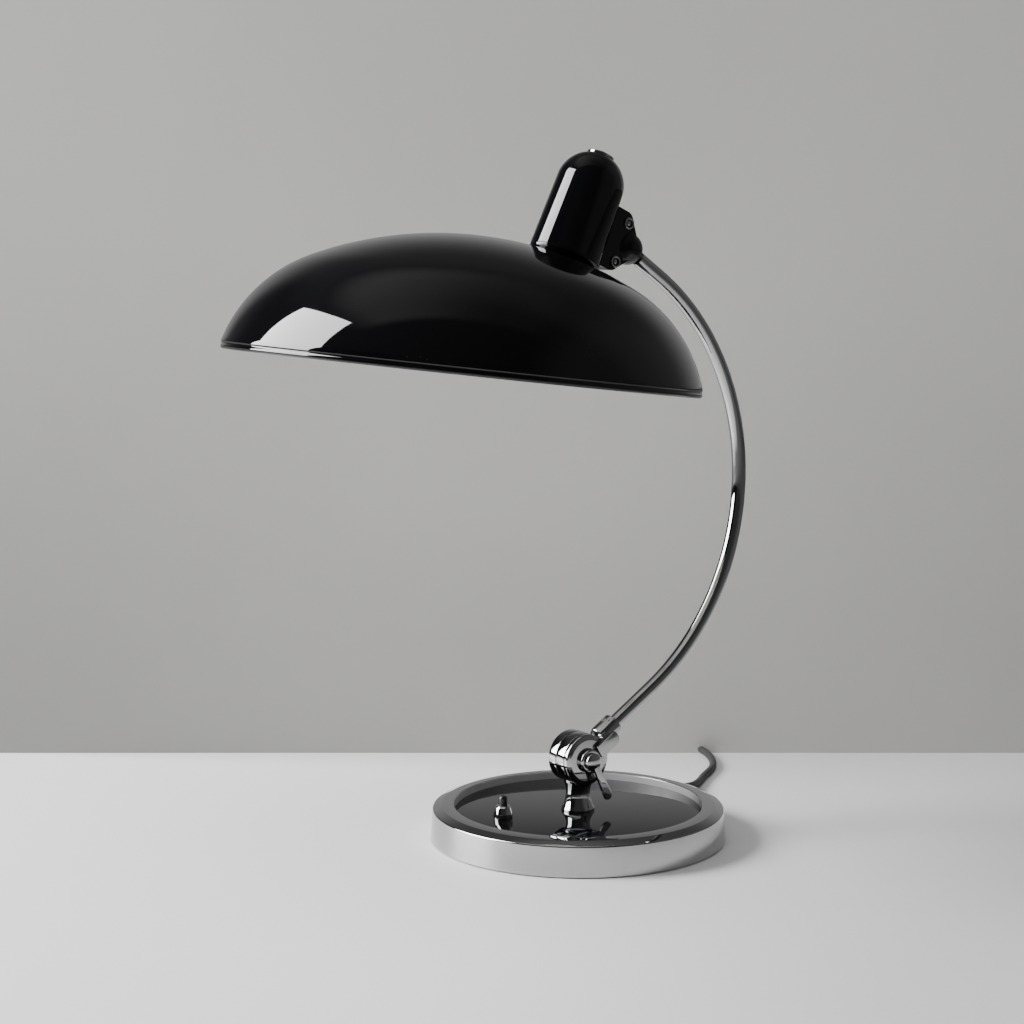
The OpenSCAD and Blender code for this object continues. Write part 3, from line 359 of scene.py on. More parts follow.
class Paint:
    """A material with one principled shader."""

    def __init__(self, name):
        self.material = bpy.data.materials.new(name)
        self.material.use_nodes = True
        self.tree = self.material.node_tree
        self.shader = self.tree.nodes["Principled BSDF"]

    def node(self, kind, output, settings=None, sockets=None, **named):
        return Wire(self.tree, None).node(kind, output, settings, sockets, **named)

    def place(self, stretch=(1, 1, 1)):
        """Positions in millimetres, stretched along the axes."""
        metres, scale = self.node("ShaderNodeTexCoord", "Object"), tuple(1000 * s for s in stretch)
        return self.node("ShaderNodeVectorMath", 0, {"operation": "MULTIPLY"}, {0: metres, 1: scale})

    def noise(self, at, size, detail=2.0, rough=0.5):
        """Noise from 0 to 1 with spots about as large as size, in millimetres."""
        sockets = {"Vector": at, "Scale": 1.0 / size, "Detail": detail, "Roughness": rough}
        return self.node("ShaderNodeTexNoise", "Fac", None, sockets)

    def spots(self, at, size):
        """Distance to the nearest of scattered points, in units of size."""
        return self.node("ShaderNodeTexVoronoi", "Distance", Vector=at, Scale=1.0 / size)

    def parts(self, vector):
        """The x, y and z of a vector."""
        first = self.node("ShaderNodeSeparateXYZ", 0, None, {0: vector})
        return [Wire(self.tree, s) for s in first.socket.node.outputs]

    def mix(self, factor, a, b):
        """Colour a where factor is 0, b where it is 1."""
        sockets = {MIX_FACTOR: factor, MIX_A: with_alpha(a), MIX_B: with_alpha(b)}
        return self.node("ShaderNodeMix", MIX_COLOUR_OUT, {"data_type": "RGBA"}, sockets)

    def bump(self, height):
        """Relief from a height in millimetres."""
        normal = self.node("ShaderNodeBump", "Normal", Strength=1.0, Distance=0.001, Height=height)
        join(self.tree, normal, self.shader.inputs["Normal"])

    def set(self, **inputs):
        for key, value in inputs.items():
            join(self.tree, with_alpha(value), self.shader.inputs[key.replace("_", " ")])
        print("material:", self.material.name)
        return self.material


# %% [markdown]
# ## Enamel
# The shade, the housing and the disc are enamelled sheet: gloss black, almost a mirror, with a
# trace of orange peel and a little dust. A clean black surface looks like plastic, so the peel
# bends reflections a little and the dust is rougher than the gloss round it. The inside of the
# shade is the same paint in white.


# %% Enamel
def enamel(name, colour, shine, peel):
    p = Paint(name)
    at = p.place()
    dust = p.spots(at, 2.6).between(0.11, 0.05) * p.noise(at, 40.0).between(0.5, 0.62)
    haze = p.noise(at, 28.0, 4.0).between(0.45, 0.75)
    p.bump(p.noise(at, 2.2, 1.0) * peel)
    dusty = tuple(min(1.0, c * 1.6 + 0.05) for c in colour)
    return p.set(
        Base_Color=p.mix(dust * 0.5, colour, dusty),
        Roughness=haze * 0.035 + dust * 0.3 + shine,
        Specular_IOR_Level=0.5,
    )


black_enamel = enamel("black enamel", (0.0022, 0.0022, 0.0028), 0.03, 0.0009)
white_enamel = enamel("white enamel", (0.78, 0.77, 0.74), 0.3, 0.004)

# %% [markdown]
# ## Metals
# Polished chrome is a mirror with faint smudges and fine hair scratches, made of noise that is
# stretched one way. The same recipe with more roughness and a grain gives zinc, brass, nickel
# and cast iron. The fibre washer has the same worn grain but is no metal.


# %% Metals
def metal(name, colour, shine, smudges, scratches=0.0005, grain=0.0, grain_size=0.2):
    p = Paint(name)
    smudge = p.noise(p.place(), 11.0, 4.0, 0.6).between(0.52, 0.78)
    level = p.noise(p.place((0.25, 5.0, 1.3)), 1.0, 3.0).between(0.6, 0.72)
    upright = p.noise(p.place((4.0, 0.3, 2.0)), 1.0, 3.0).between(0.62, 0.74)
    hair = level + upright
    relief = hair * scratches
    if grain:
        relief = relief + p.noise(p.place((1 / grain_size,) * 3), 1.0, 3.0, 0.7) * grain
    p.bump(relief)
    return p.set(
        Base_Color=p.mix(smudge * 0.5, colour, tuple(c * 0.9 for c in colour)),
        Metallic=1.0,
        Roughness=smudge * smudges + hair * 0.03 + shine,
    )


chrome = metal("chrome", (0.42, 0.422, 0.428), 0.02, 0.03)
zinc = metal("zinc plate", (0.55, 0.56, 0.57), 0.28, 0.12, 0.002, 0.004)
brass = metal("brass", (0.72, 0.52, 0.24), 0.22, 0.1, 0.001, 0.002)
nickel = metal("nickel", (0.62, 0.6, 0.56), 0.16, 0.1, 0.0008, 0.001)
iron = metal("cast iron", (0.06, 0.058, 0.055), 0.55, 0.1, 0.0, 0.12, 0.8)
fibre = metal("fibre", (0.05, 0.035, 0.025), 0.6, 0.1, 0.0, 0.02)
fibre.node_tree.nodes["Principled BSDF"].inputs["Metallic"].default_value = 0.0

# %% [markdown]
# The inner wall of the base ring gets a dull grey in place of chrome, with painted light: the
# side that gets less light is painted paler, a painted reflection that stands in for what a
# polished wall would mirror, so the whole ring reads as one metal.


# %% Lining of the ring
def ring_lining_painted_light():
    p = Paint("ring lining")
    at = p.place()
    x, y, _ = p.parts(at)
    # Painted light: pale on the side of the wall that gets less light, dark on the side that gets more.
    side = seen_right(x, y).between(-75.0, 75.0)
    worn = p.noise(at, 7.0, 4.0).between(0.5, 0.8)
    return p.set(
        Base_Color=p.mix(side, (0.6, 0.6, 0.61), (0.2, 0.2, 0.205)),
        Roughness=worn * 0.1 + 0.4,
    )


lining = ring_lining_painted_light()

# %% [markdown]
# ## Plastics
# Plastics and rubber are dull, with a fine moulded grain and paler worn patches. The holder
# is glossier.


# %% Plastics
def plastic(name, colour, shine, grain=0.004):
    p = Paint(name)
    at = p.place()
    worn = p.noise(at, 7.0, 4.0).between(0.5, 0.8)
    p.bump(p.noise(at, 0.35, 2.0) * grain)
    pale = tuple(c * 1.5 + 0.01 for c in colour)
    return p.set(Base_Color=p.mix(worn * 0.5, colour, pale), Roughness=worn * 0.12 + shine)


black_plastic = plastic("black plastic", (0.012, 0.012, 0.013), 0.22, 0.001)
white_plastic = plastic("white plastic", (0.72, 0.71, 0.67), 0.45)
holder_plastic = plastic("holder plastic", (0.022, 0.017, 0.014), 0.16, 0.001)
rubber = plastic("black rubber", (0.014, 0.014, 0.015), 0.5, 0.01)
lead_plastic = plastic("lead plastic", (0.02, 0.02, 0.02), 0.4)

# %% [markdown]
# ## Glass and felt
# Opal glass is milky white with a gloss. Felt is a dark mat of fibres.


# %% Glass and felt
def opal():
    p = Paint("opal glass")
    cloud = p.noise(p.place(), 18.0, 2.0).between(0.3, 0.7)
    return p.set(
        Base_Color=p.mix(cloud, (0.86, 0.855, 0.84), (0.9, 0.895, 0.88)),
        Roughness=cloud * 0.04 + 0.08,
        Subsurface_Weight=0.3,
        Subsurface_Scale=0.003,
    )


def felt():
    p = Paint("felt")
    at = p.place()
    tuft, patch = p.noise(at, 0.5, 5.0, 0.75), p.noise(at, 9.0, 2.0)
    p.bump(tuft * 0.35)
    return p.set(
        Base_Color=p.mix(tuft * 0.7 + patch * 0.3, (0.006, 0.012, 0.009), (0.03, 0.05, 0.04)),
        Roughness=0.95,
    )


opal_glass, felt_pad = opal(), felt()

# %% [markdown]
# ## Woven cover
# The cord's textile cover is a pattern on the UV map of its tube: two sets of slanted threads
# cross over and under, and each rises where it lies on top. Its colour holds painted light and
# shade: raised threads are painted lighter, the low places between them darker, with a random
# fuzz in the tone.

# %% Woven cover
STRANDS, WEAVE_PITCH = 12.0, 0.0145


def woven(name, colour, light):
    p = Paint(name)
    around, along, _ = p.parts(p.node("ShaderNodeUVMap", "UV", {"uv_map": "along"}))
    turns, rise = around * STRANDS, along * (STRANDS / WEAVE_PITCH)
    right = (turns + rise).maths("PINGPONG", 0.5) * 2.0
    left = (turns - rise).maths("PINGPONG", 0.5) * 2.0
    over = ((turns + rise).maths("FLOOR") + (turns - rise).maths("FLOOR")).maths("PINGPONG", 1.0)
    height = (over * right + (1.0 - over) * left).between(0.0, 0.9)
    fuzz = p.noise(p.place(), 0.12, 3.0, 0.7)
    p.bump(height * 0.16 + fuzz * 0.03)
    # Painted shade and light: darker where the weave lies low, lighter where it is raised; the fuzz adds random
    # tone.
    return p.set(
        Base_Color=p.mix(height * 0.6 + fuzz * 0.4, colour, light),
        Roughness=0.7,
        Sheen_Weight=0.08,
    )


cord_cover = woven("woven cover", (0.004, 0.004, 0.005), (0.024, 0.024, 0.026))

# %% [markdown]
# ## Slots
# The CAD nodes that stay get their materials here.

# %% Slots
kept = {
    zinc: [
        "disc_spacer", "base_cover", "cover_screws", "stud_washer", "clamp_bolt",
        "switch_spring", "cord_clamp", "collar_screw", "joint_nuts", "joint_rivets",
    ],
    brass: ["stud_nut", "terminal_screws", "arm_bush", "holder_stem", "holder_contact"],
    iron: ["base_ballast"],
    felt_pad: ["base_pad"],
    fibre: ["hub_washer"],
    black_plastic: ["switch_body"],
    white_plastic: ["terminal_block"],
    lead_plastic: ["arm_lead"],
}
for material, names in kept.items():
    for name in names:
        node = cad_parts[name]
        node.data.materials.clear()
        node.data.materials.append(material)
print("CAD nodes that stay:", sum(len(v) for v in kept.values()))

# %% [markdown]
# ## Cord
# The cord leaves the base behind on the right, bends over the table and goes out of sight,
# where the rest of its 1.8 m lies in a coil of eight turns with the plug beside it. The tube
# is one piece along one line of points. ROUTE and LEAD are the points of the CAD part.

# %% The route of the cord
CORD_MM, START_INSIDE = 1800.0, 8
EXIT = turned(EXIT_R, 0, EXIT_TURN)
ROUTE = [
    (0, 0, EXIT_Z), (10, 3.4, 5.4), (21, 9.4, 3.6), (32, 17.2, 2.6), (43, 25.8, 2.5),
    (54, 33.4, 2.5), (65, 41.8, 2.5), (75, 52.8, 2.5), (83.4, 65.4, 2.5), (90, 78.8, 2.5),
    (94.6, 93.8, 2.5), (98.4, 109.8, 2.5), (102.8, 123.8, 2.5), (107.4, 136, 2.5), (111, 147.4, 2.5),
]
LEAD = [
    (104.4, 184.8, 16.8), (100, 189, 16), (95, 192.2, 14.6), (84.6, 197.6, 11.2),
    (75.2, 201, 8.2), (68.6, 202.6, 6.8), (59, 204.1, 6.5),
]


def laid(offsets):
    return [Vector((EXIT[0] + x, EXIT[1] + y, z)) for x, y, z in offsets]


# %% [markdown]
# The coil lies in layers of two turns. Near each whole turn the cord swings in, out or up to
# the next layer, and `ease` makes every such change gentle.

# %% The coil
COIL = (EXIT[0] + 77, EXIT[1] + 159)
TURN_R = (32.5, 27.5, 27.5, 32.5, 32.5, 27.5, 27.5, 32.5, 37.5)
FIRST_R, TURNS, PER_TURN = 35.0, 8.1, 36
CROSSING = 0.24  # the share of a turn in which the cord changes lane
CLIMBS = (2, 4, 6)  # the whole turns where it climbs a layer


def ease(s):
    s = min(1.0, max(0.0, s))
    return s * s * (3 - 2 * s)


def coil_point(t):
    """The cord after t turns."""
    whole = round(t)
    across = (t - whole) / CROSSING + 0.5
    before, after = TURN_R[max(0, whole - 1)], TURN_R[whole]
    r = before + (after - before) * ease(across)
    if before == after:
        r += (CORD_R if before > 30 else -CORD_R) * ease(1 - abs(2 * across - 1))
    if whole == 0 and across < 0.5:
        r = FIRST_R
    z = CORD_R + sum(2 * CORD_R * ease((t - n) / CROSSING + 0.5) for n in CLIMBS)
    x, y = turned(r, 0, 360 * t)
    return Vector((COIL[0] + x, COIL[1] + y, z))


# %% The line of the cord
def smooth_path(points, step, dense_steps=12):
    """A curve through points, with points about a step apart."""
    padded = [points[0] * 2 - points[1], *points, points[-1] * 2 - points[-2]]
    dense = []
    for a, b, c, d in zip(padded, padded[1:], padded[2:], padded[3:]):
        square, cube = 2 * a - 5 * b + 4 * c - d, 3 * b - a - 3 * c + d
        for k in range(dense_steps):
            t = k / dense_steps
            dense.append(0.5 * (2 * b + (c - a) * t + square * t**2 + cube * t**3))
    out, run = [dense[0]], 0.0
    for a, b in zip(dense, dense[1:]):
        run += (b - a).length
        if run >= step:
            out.append(b)
            run = 0.0
    return [*out, points[-1]]


out_of_base = Vector((*turned(EXIT_R - START_INSIDE, 0, EXIT_TURN), EXIT_Z))
coil = [coil_point(k / PER_TURN) for k in range(int(TURNS * PER_TURN))]
line = smooth_path([out_of_base, *laid(ROUTE), *coil, *laid(LEAD)], 3.0)
line_mm = sum((b - a).length for a, b in zip(line, line[1:])) - START_INSIDE
print("cord:", len(line), "points,", round(line_mm), "mm from the strain relief's tip")

# %% [markdown]
# A rubber strap with a tab ties the coil: a thin closed outline given thickness.

# %% Cord and tie
CORD_NODES = ["mains_cord", "cord_coil", "plug_lead"]
cord = show("cord", sweep(line, CORD_R, 20), HERE, "base", cord_cover, CORD_NODES)

strap = rounded([
    (-5.8, 0.2), (-5.8, 20.9, 2.4), (5.8, 20.9, 2.4), (5.8, 0.2),
    (5.1, 0.2), (5.1, 20.2, 1.8), (-5.1, 20.2, 1.8), (-5.1, 0.2),
], steps=5)
tab = rounded([(-3.6, 20.6, 0.2), (3.6, 20.6, 0.2), (3.6, 21.4, 0.3), (-3.6, 21.4, 0.3)], steps=2)
bound = joined(slab(strap, -2, 2, 0.15, 2), slab(tab, -1.6, 1.6, 0.15, 2))
tie_at = move(*COIL, 0) @ turn("Z", 200) @ move(30, 0, 0) @ turn("X", 90)
tie = show("coil tie", bound, tie_at, "base", rubber, ["coil_tie"])

# %% [markdown]
# ## Plug
# A flat two-pin plug in moulded rubber, with a ribbed sleeve where the cord goes in and raised
# pads for the fingers. The pins are nickel with a round tip.

# %% Plug
PLUG = move(EXIT[0] + 64, EXIT[1] + 203.4, 6.5) @ turn("Z", 172.0)
grip = rounded([
    (11.5, -5, 1), (17, -10, 4), (21, -13, 3), (36, -13, 3),
    (36, 13, 3), (21, 13, 3), (17, 10, 4), (11.5, 5, 1),
], steps=5)
ribs = [(3.0, 0.5), (3.5, 0.6)]
for k in range(4):
    r, z = 0.35 * k, 2.7 * k
    ribs += [(3.7 + r, 1.2 + z), (3.7 + r, 2.9 + z), (3.1 + r, 3.1 + z), (3.1 + r, 3.7 + z)]
sleeve = lathe(ribs + [(4.9, 12.2), (0, 12.2)], 32, closed=False)
pads = []
for k in range(3):
    near, end = 20 + 4 * k, 21.6 + 4 * k
    pad = rounded([(near, -8, 0.6), (end, -8, 0.6), (end, 8, 0.6), (near, 8, 0.6)], steps=3)
    pads += [(slab(pad, 6.1, 6.5, 0.15, 2), turn("X", side)) for side in (0, 180)]
plug_parts = joined(slab(grip, -6.3, 6.3, 2.2, 5), (sleeve, turn("Y", 90)), *pads)
plug = show("plug", plug_parts, PLUG, "base", rubber, ["plug_body"])

pin = [(0, 35.5), (2.4, 35.5), (2.4, 36.3), (2.4, 52.4)] + arc(0, 52.7, 2.3, 0, 90, 6)
pins = [(lathe(pin, 24, closed=False), move(0, y, 0) @ turn("Y", 90)) for y in (-9.3, 9.3)]
pin_pair = show("plug pins", joined(*pins), PLUG, "base", nickel, ["plug_pins"])
[tuple(p / 1000) for p in line]

# %% [markdown]
# ## Base
# The chromed ring has a leaning wall, a rounded top edge, a band that climbs inward and a
# thin inner lip. The glossy disc lies a little below the lip. Both are turned, with 192 sides,
# because a polished round piece shows its corners in the reflections long before its outline.

# %% Ring and disc
ring = rounded([
    (93, 0.6, 0.3), (91.44, 19.1, 1.0), (85.5, 21.22, 3.0), (RING_IN, 21.84, 0.7),
    (RING_IN, DISC_UNDER), (73.9, DISC_UNDER, 0.3), (73.9, 13.34),
    (80.1, 13.34), (80.1, 17.2), (89.3, 17.2), (89.3, 0.6, 0.3),
], steps=8)
base_ring = show("base ring", lathe(ring, 192), HERE, "base", chrome, ["base_rim"])
base_ring.data.materials.append(lining)
for face in base_ring.data.polygons:
    face.material_index = int(abs(face.center.xy.length * 1000 - RING_IN) < 0.1)
disc = rounded([(5.2, DISC_UNDER), (77.7, DISC_UNDER), (77.7, DISC_Z, 0.5), (5.2, DISC_Z)], steps=4)
show("base disc", lathe(disc, 192), HERE, "base", black_enamel, ["base_disc"])

# %% [markdown]
# The strain relief is a rubber cone of rings that get smaller towards its tip, so the cord
# bends gently. One loop writes the profile of all nine rings.

# %% Strain relief
relief = [(2.55, 92.2), (4.9, 92.2), (5.0, 92.5), (5.0, 94.4), (4.7, 94.8)]
for k in range(9):
    z, r = 95.4 + 2.3 * k, 4.6 - 0.125 * k
    relief += [(r - 0.75, z - 0.3), (r - 0.75, z + 0.3), (r - 0.1, z + 0.5)]
    relief += [(r, z + 0.7), (r - 0.02, z + 1.5), (r - 0.1, z + 1.7)]
relief += [(3.4, 116.4), (3.3, 117), (2.55, 117)]
outlet = turn("Z", EXIT_TURN) @ move(0, 0, EXIT_Z) @ turn("Y", 90)
show("strain relief", lathe(relief, 40), outlet, "base", rubber, ["cord_gland"])

# %% [markdown]
# The pedestal narrows to a waist above its foot and carries the clamp drum, which lies across
# the arm's plane. A fine groove runs round the drum. The neck's points that would reach into
# the turning cap are pushed back behind it.

# %% Pedestal
foot = rounded([
    (4.9, 12.4), (4.9, DISC_Z), (10.5, DISC_Z, 0.2), (10.5, 18.94, 0.3), (10.3, 19.2),
], closed=False, steps=4)
waist = arc(25.43, 28.5, 17.73, 211, 154.7, 36)
neck = lathe(foot + waist + [(9.4, 42.6), (2.6, 42.6), (2.6, 12.4)], 96)
for v in neck.verts:
    if v.co.y < -6 and math.hypot(v.co.x, v.co.z - HUB_Z) < DRUM_R + 0.4:
        v.co.y = -5.9
drum = rounded([
    (3.1, -6.5), (5.6, -6.5), (5.6, -10, 0.2), (DRUM_R, -10, 1.2), (DRUM_R, -2.25, 0.15),
    (15.8, -2.25), (15.8, -1.55), (DRUM_R, -1.55, 0.15), (DRUM_R, 6, 0.35), (3.1, 6),
], steps=5)
show("pedestal", joined(neck, (lathe(drum, 128), HUB)), HERE, "base", chrome, ["pedestal"])

# %% [markdown]
# The switch is a stepped chromed collar on the disc, with a dark button that moves in it.

# %% Switch
SWITCH = move(*turned(52.3, 0, 170), DISC_Z)
collar = rounded([
    (2.75, 0), (6, 0, 0.15), (6, 3.9, 0.6), (4.9, 7.7, 0.4), (4.0, 8.7, 0.4), (2.75, 8.7, 0.2),
], steps=4)
show("switch collar", lathe(collar, 64), SWITCH, "base", chrome, ["switch_collar"])
button = rounded([(0, -2), (2.7, -2), (2.7, 15.1, 2.2), (0, 15.1)], closed=False, steps=7)
show("switch button", lathe(button, 40), SWITCH, "switch", black_plastic, ["switch_button"])

# %% [markdown]
# ## Clamp
# The cap turns on the drum. Its lug and leg carry the collar that grips the tube, and the
# lever on the bolt presses the round washer against it.

# %% Cap and washer
cap = rounded([
    (BOLT_BORE, CAP_BACK), (DRUM_R, CAP_BACK, 0.3), (DRUM_R, 9.4, 1.4), (13.2, 10.5, 3),
    (8, CAP_FRONT, 1), (BOLT_BORE, CAP_FRONT),
], steps=8)
lug = rounded([(8.2, -4.3, 0.8), (25.5, -4.3, 2.6), (25.5, 4.3, 2.6), (8.2, 4.3, 0.8)], steps=5)
leg = rounded([(16.7, -4.3, 0.3), (22.4, -4.3, 0.8), (22.4, 4.3, 0.8), (16.7, 4.3, 0.3)], steps=4)
tube_collar = rounded([
    (3.5, 18.5), (7.2, 18.5, 0.9), (7.2, 33.5, 0.9), (4.5, 33.5, 0.2), (4.5, 22.5), (3.5, 22.5),
], steps=5)
cap_parts = joined(
    lathe(cap, 128), slab(lug, CAP_FRONT - 0.6, 13.45, 0.6, 4), slab(leg, 0, 13.0, 0.5, 3),
    (lathe(tube_collar, 64), turn("Y", 90)),
)
show("arm cap", cap_parts, ARM, "arm", chrome, ["arm_cap"])
boss = rounded([
    (BOLT_BORE, CAP_FRONT), (7.75, CAP_FRONT), (7.75, BOSS_FRONT, 1.3), (BOLT_BORE, BOSS_FRONT),
], steps=6)
show("pressure washer", lathe(boss, 80), HUB, "arm", chrome, ["pressure_washer"])

# %% [markdown]
# The lever is a low domed hub with a flat paddle that widens to a round end.

# %% Lever
DOME_R, HUB_UNDER, PADDLE_END, PADDLE_R = 11.5, 15.95, 24.7, 3.3
dome = arc(0, LEVER_FRONT - DOME_R, DOME_R, 63.5, 90, 8)
knob = [
    (BOLT_BORE, LEVER_BACK), (5.2, LEVER_BACK), (5.5, LEVER_BACK + 0.3), (5.5, 16.1), (5.35, 16.4),
    *dome[:-1], (0, LEVER_FRONT), (0, HUB_UNDER), (BOLT_BORE, HUB_UNDER),
]
edge = rounded([(3.0, -2.1), (6.5, -2.0, 3), (PADDLE_END, -PADDLE_R, 6)], closed=False, steps=4)
round_end = arc(PADDLE_END, 0, PADDLE_R, -90, 90, 14)[1:-1]
blade = edge + round_end + [(x, -y) for x, y in reversed(edge)]
lever = joined(lathe(knob, 64, closed=False), slab(blade, 15.05, 17.05, 0.7, 4))
show("clamp lever", lever, HUB @ turn("Z", -64), "lever", chrome, ["clamp_lever"])

# %% [markdown]
# ## Arm
# One polished tube: straight in the collar, a long even bend, and straight again at the head.
# At its end a ball on a slim neck sits in the joint. The bend has 110 steps, because a coarse
# one would break the long reflections into facets.

# %% Tube and ball
tail = [(TUBE_START + (TAIL - TUBE_START) * k / 8, 0.0) for k in range(8)]
bend = arc(TAIL, BEND_R, BEND_R, -90, SWEEP - 90, 110)
run_x, run_y = math.cos(math.radians(SWEEP)), math.sin(math.radians(SWEEP))
top_len = TOP - CUP_R - 1.6
top = [(bend[-1][0] + run_x * top_len * k / 4, bend[-1][1] + run_y * top_len * k / 4) for k in range(1, 5)]
centreline = [(x, y, 0) for x, y in tail + bend + top]
show("arm tube", sweep(centreline, TUBE_R, 48), ARM, "arm", chrome, ["arm_tube"])

stud = [
    (1.6, -23.0), (3.0, -23.0), (3.0, -11.6), (4.35, -11.6), (4.5, -11.45), (4.5, -10.9),
    (4.35, -10.75), (3.3, -10.75), (3.0, -10.4), *arc(0, 0, BALL_R, -62.5, 75.8, 28), (1.6, 6.0),
]
show("ball stud", lathe(stud, 64), STUD, "ball", chrome, ["ball_stud"])

# %% [markdown]
# ## Ball joint
# Two black clamp halves hold the ball. Each is a flat bracket plate with a round cup whose
# foot flares into the plate. Between the halves a slot lets the ball's neck swing. The cup
# isn't a turned shape, since slot and flare change round it, so it is built from one loop of
# points for each angle.

# %% The cup
PLATE_TOP, FLARE_W, FLARE_H = 6.2, 3.4, 2.6
FLARE_FROM, FLARE_OVER = 92, 30  # degrees from the slot's middle
SLOT_R, SLOT_TURN, SLOT_REACH = 3.4, 36, 9.4
SEAT_R = BALL_R + 0.05


def cup():
    """Half a hollow ball, open where the neck swings, with a flared foot towards the plate."""
    bm = bmesh.new()
    sides, rows = 120, 14
    loops = []
    for k in range(sides):
        a = 360.0 * k / sides - 180.0
        flare = ease((abs(a) - FLARE_FROM) / FLARE_OVER)
        off = SLOT_REACH * math.sin(math.radians(min(90, max(0, abs(a) - SLOT_TURN))))
        low = max(0.1, math.sqrt(max(0, SLOT_R**2 - off**2)))
        points = []
        for i in range(rows + 1):
            lift = low + 0.35 + (CUP_R - low - 0.35) * math.sin(math.pi / 2 * (1 - i / rows))
            foot_w = FLARE_W * flare * (1 - ease((lift - PLATE_TOP) / FLARE_H)) ** 1.6
            wide = foot_w * (1 if lift > PLATE_TOP else 0.98)
            points.append((math.sqrt(max(0, CUP_R**2 - lift**2)) + wide, lift))
        points.append((math.sqrt(CUP_R**2 - low**2) - 0.3 + 3.2 * flare, low))
        points.append((math.sqrt(max(0, SEAT_R**2 - low**2)) + 0.3, low))
        for i in range(rows + 1):
            lift = low + 0.2 + (SEAT_R - low - 0.2) * math.sin(math.pi / 2 * i / rows)
            points.append((math.sqrt(max(0, SEAT_R**2 - lift**2)), lift))
        c, s = math.cos(math.radians(a)), math.sin(math.radians(a))
        loops.append([bm.verts.new((r * c, r * s, z)) for r, z in points])
    for a, b in zip(loops, loops[1:] + loops[:1]):
        for i in range(len(a) - 1):
            bm.faces.new((a[i], b[i], b[i + 1], a[i + 1]))
    bmesh.ops.remove_doubles(bm, verts=bm.verts, dist=0.002)
    return bm


# %% Clamp halves
plate = rounded([
    (-22.4, -19.1, 0.5), (-9.9, -19.1, 6.2), (2.3, -4.5, 3.2),
    (2.3, 4.5, 3.2), (-9.9, 19.1, 6.2), (-22.4, 19.1, 0.5),
], steps=8)
JOINT = move(*BALL) @ turn("Y", HEAD_TILT) @ turn("X", 90)
for name, side in (("joint front", 0), ("joint rear", 180)):
    half, node_name = joined(slab(plate, 0.1, 6.5, 1.1, 5), cup()), name.replace(" ", "_")
    show(name, half, JOINT @ turn("X", side), "head", black_enamel, [node_name], sharp=40)

# %% [markdown]
# The two screws stand on raised ring washers.

# %% Screws and rings
SCREW_X, SCREW_Y = -9.9, 12.7
ring_washer = rounded([(2.4, 6.4), (3.7, 6.4), (3.7, 7.7, 0.55), (2.4, 7.7, 0.45)], steps=5)
screw_head = [
    (0, -7.5), (1.5, -7.5), (1.5, 6.4), (1.65, 6.6), (1.6, 6.9), (1.3, 7.25), (0.7, 7.45), (0, 7.5),
]
screw_parts = []
for y in (-SCREW_Y, SCREW_Y):
    screw = joined(lathe(ring_washer, 48), lathe(screw_head, 40, closed=False))
    screw_parts.append((screw, move(SCREW_X, y, 0)))
show("joint screws", joined(*screw_parts), JOINT, "head", chrome, ["joint_screws"])

# %% [markdown]
# ## Head
# The bullet-shaped housing stands on its collar with a fine seam between them. A chromed nut
# closes it at the top.

# %% Housing, collar, finial
seam_edge = [(HOUSING_R - 0.35, SEAM), (HOUSING_R - 0.05, SEAM + 0.15), (HOUSING_R, SEAM + 0.5)]
tip = arc(0, HOUSING_H, HOUSING_TOP_R, 0, 76, 30)
tip_in = arc(0, HOUSING_H, HOUSING_TOP_R - HOUSING_WALL, 75, 0, 20)
housing = seam_edge + tip + tip_in + [(HOUSING_R - HOUSING_WALL, SEAM)]
show("housing", lathe(housing, 160), HEAD, "head", black_enamel, ["head_housing"])
skirt = rounded([
    (16.4, -0.6), (18.5, -0.78, 0.3), (19.6, 0.2, 2.0), (21.6, 3.4, 3.0), (22.2, 4.9, 0.8),
    (22.1, SEAM - 0.15, 0.2), (20.9, SEAM - 0.15), (20.9, 8.1), (19.7, 8.1), (19.7, 3.7), (16.4, 3.7),
], steps=6)
show("housing collar", lathe(skirt, 160), HEAD, "head", black_enamel, ["head_collar"])
finial = rounded([(0, 70.3), (8.45, 70.3), (8.5, 71.8, 0.35), (3.4, 73.6, 2.5), (0, 73.6)], closed=False, steps=5)
show("finial nut", lathe(finial, 72), HEAD, "head", chrome, ["finial_nut"])

# %% [markdown]
# ## Shade
# A dome spun from sheet, gloss black outside and white inside, with a rolled rim. It could be
# one surface with a Solidify modifier, but the rim is rolled, so outer skin and lining are two
# profiles that meet behind the bead and are merged there.

# %% Shade
SHADE_SIDES, BEAD_R = 192, 1.8
crown_outer = arc(0, CROWN_Z, CROWN_R, 90, 90 - SHOULDER_START, 30)
shoulder = arc(SHOULDER_X, SHOULDER_Z, SHOULDER_R, 90 - SHOULDER_START, 90 - SHOULDER_END, 30)
crease = [(SHADE_R - 0.05, 4.4), (SHADE_R - 0.3, 4.15), (SHADE_R - 0.45, 3.6)]
bead = arc(SHADE_R - BEAD_R, BEAD_R, BEAD_R, 42, -220, 24)
outside = [(0, crown_outer[0][1])] + crown_outer[1:] + shoulder[1:] + crease + bead
inner_r = SHOULDER_R - SHADE_WALL
shoulder_in = arc(SHOULDER_X, SHOULDER_Z, inner_r, 90 - SHOULDER_END, 90 - SHOULDER_START, 30)
crown_in = arc(0, CROWN_Z, CROWN_R - SHADE_WALL, 90 - SHOULDER_START, 90, 30)
inside = [(SHADE_R - 1, 3.4)] + shoulder_in + crown_in[1:-1] + [(0, crown_in[-1][1])]

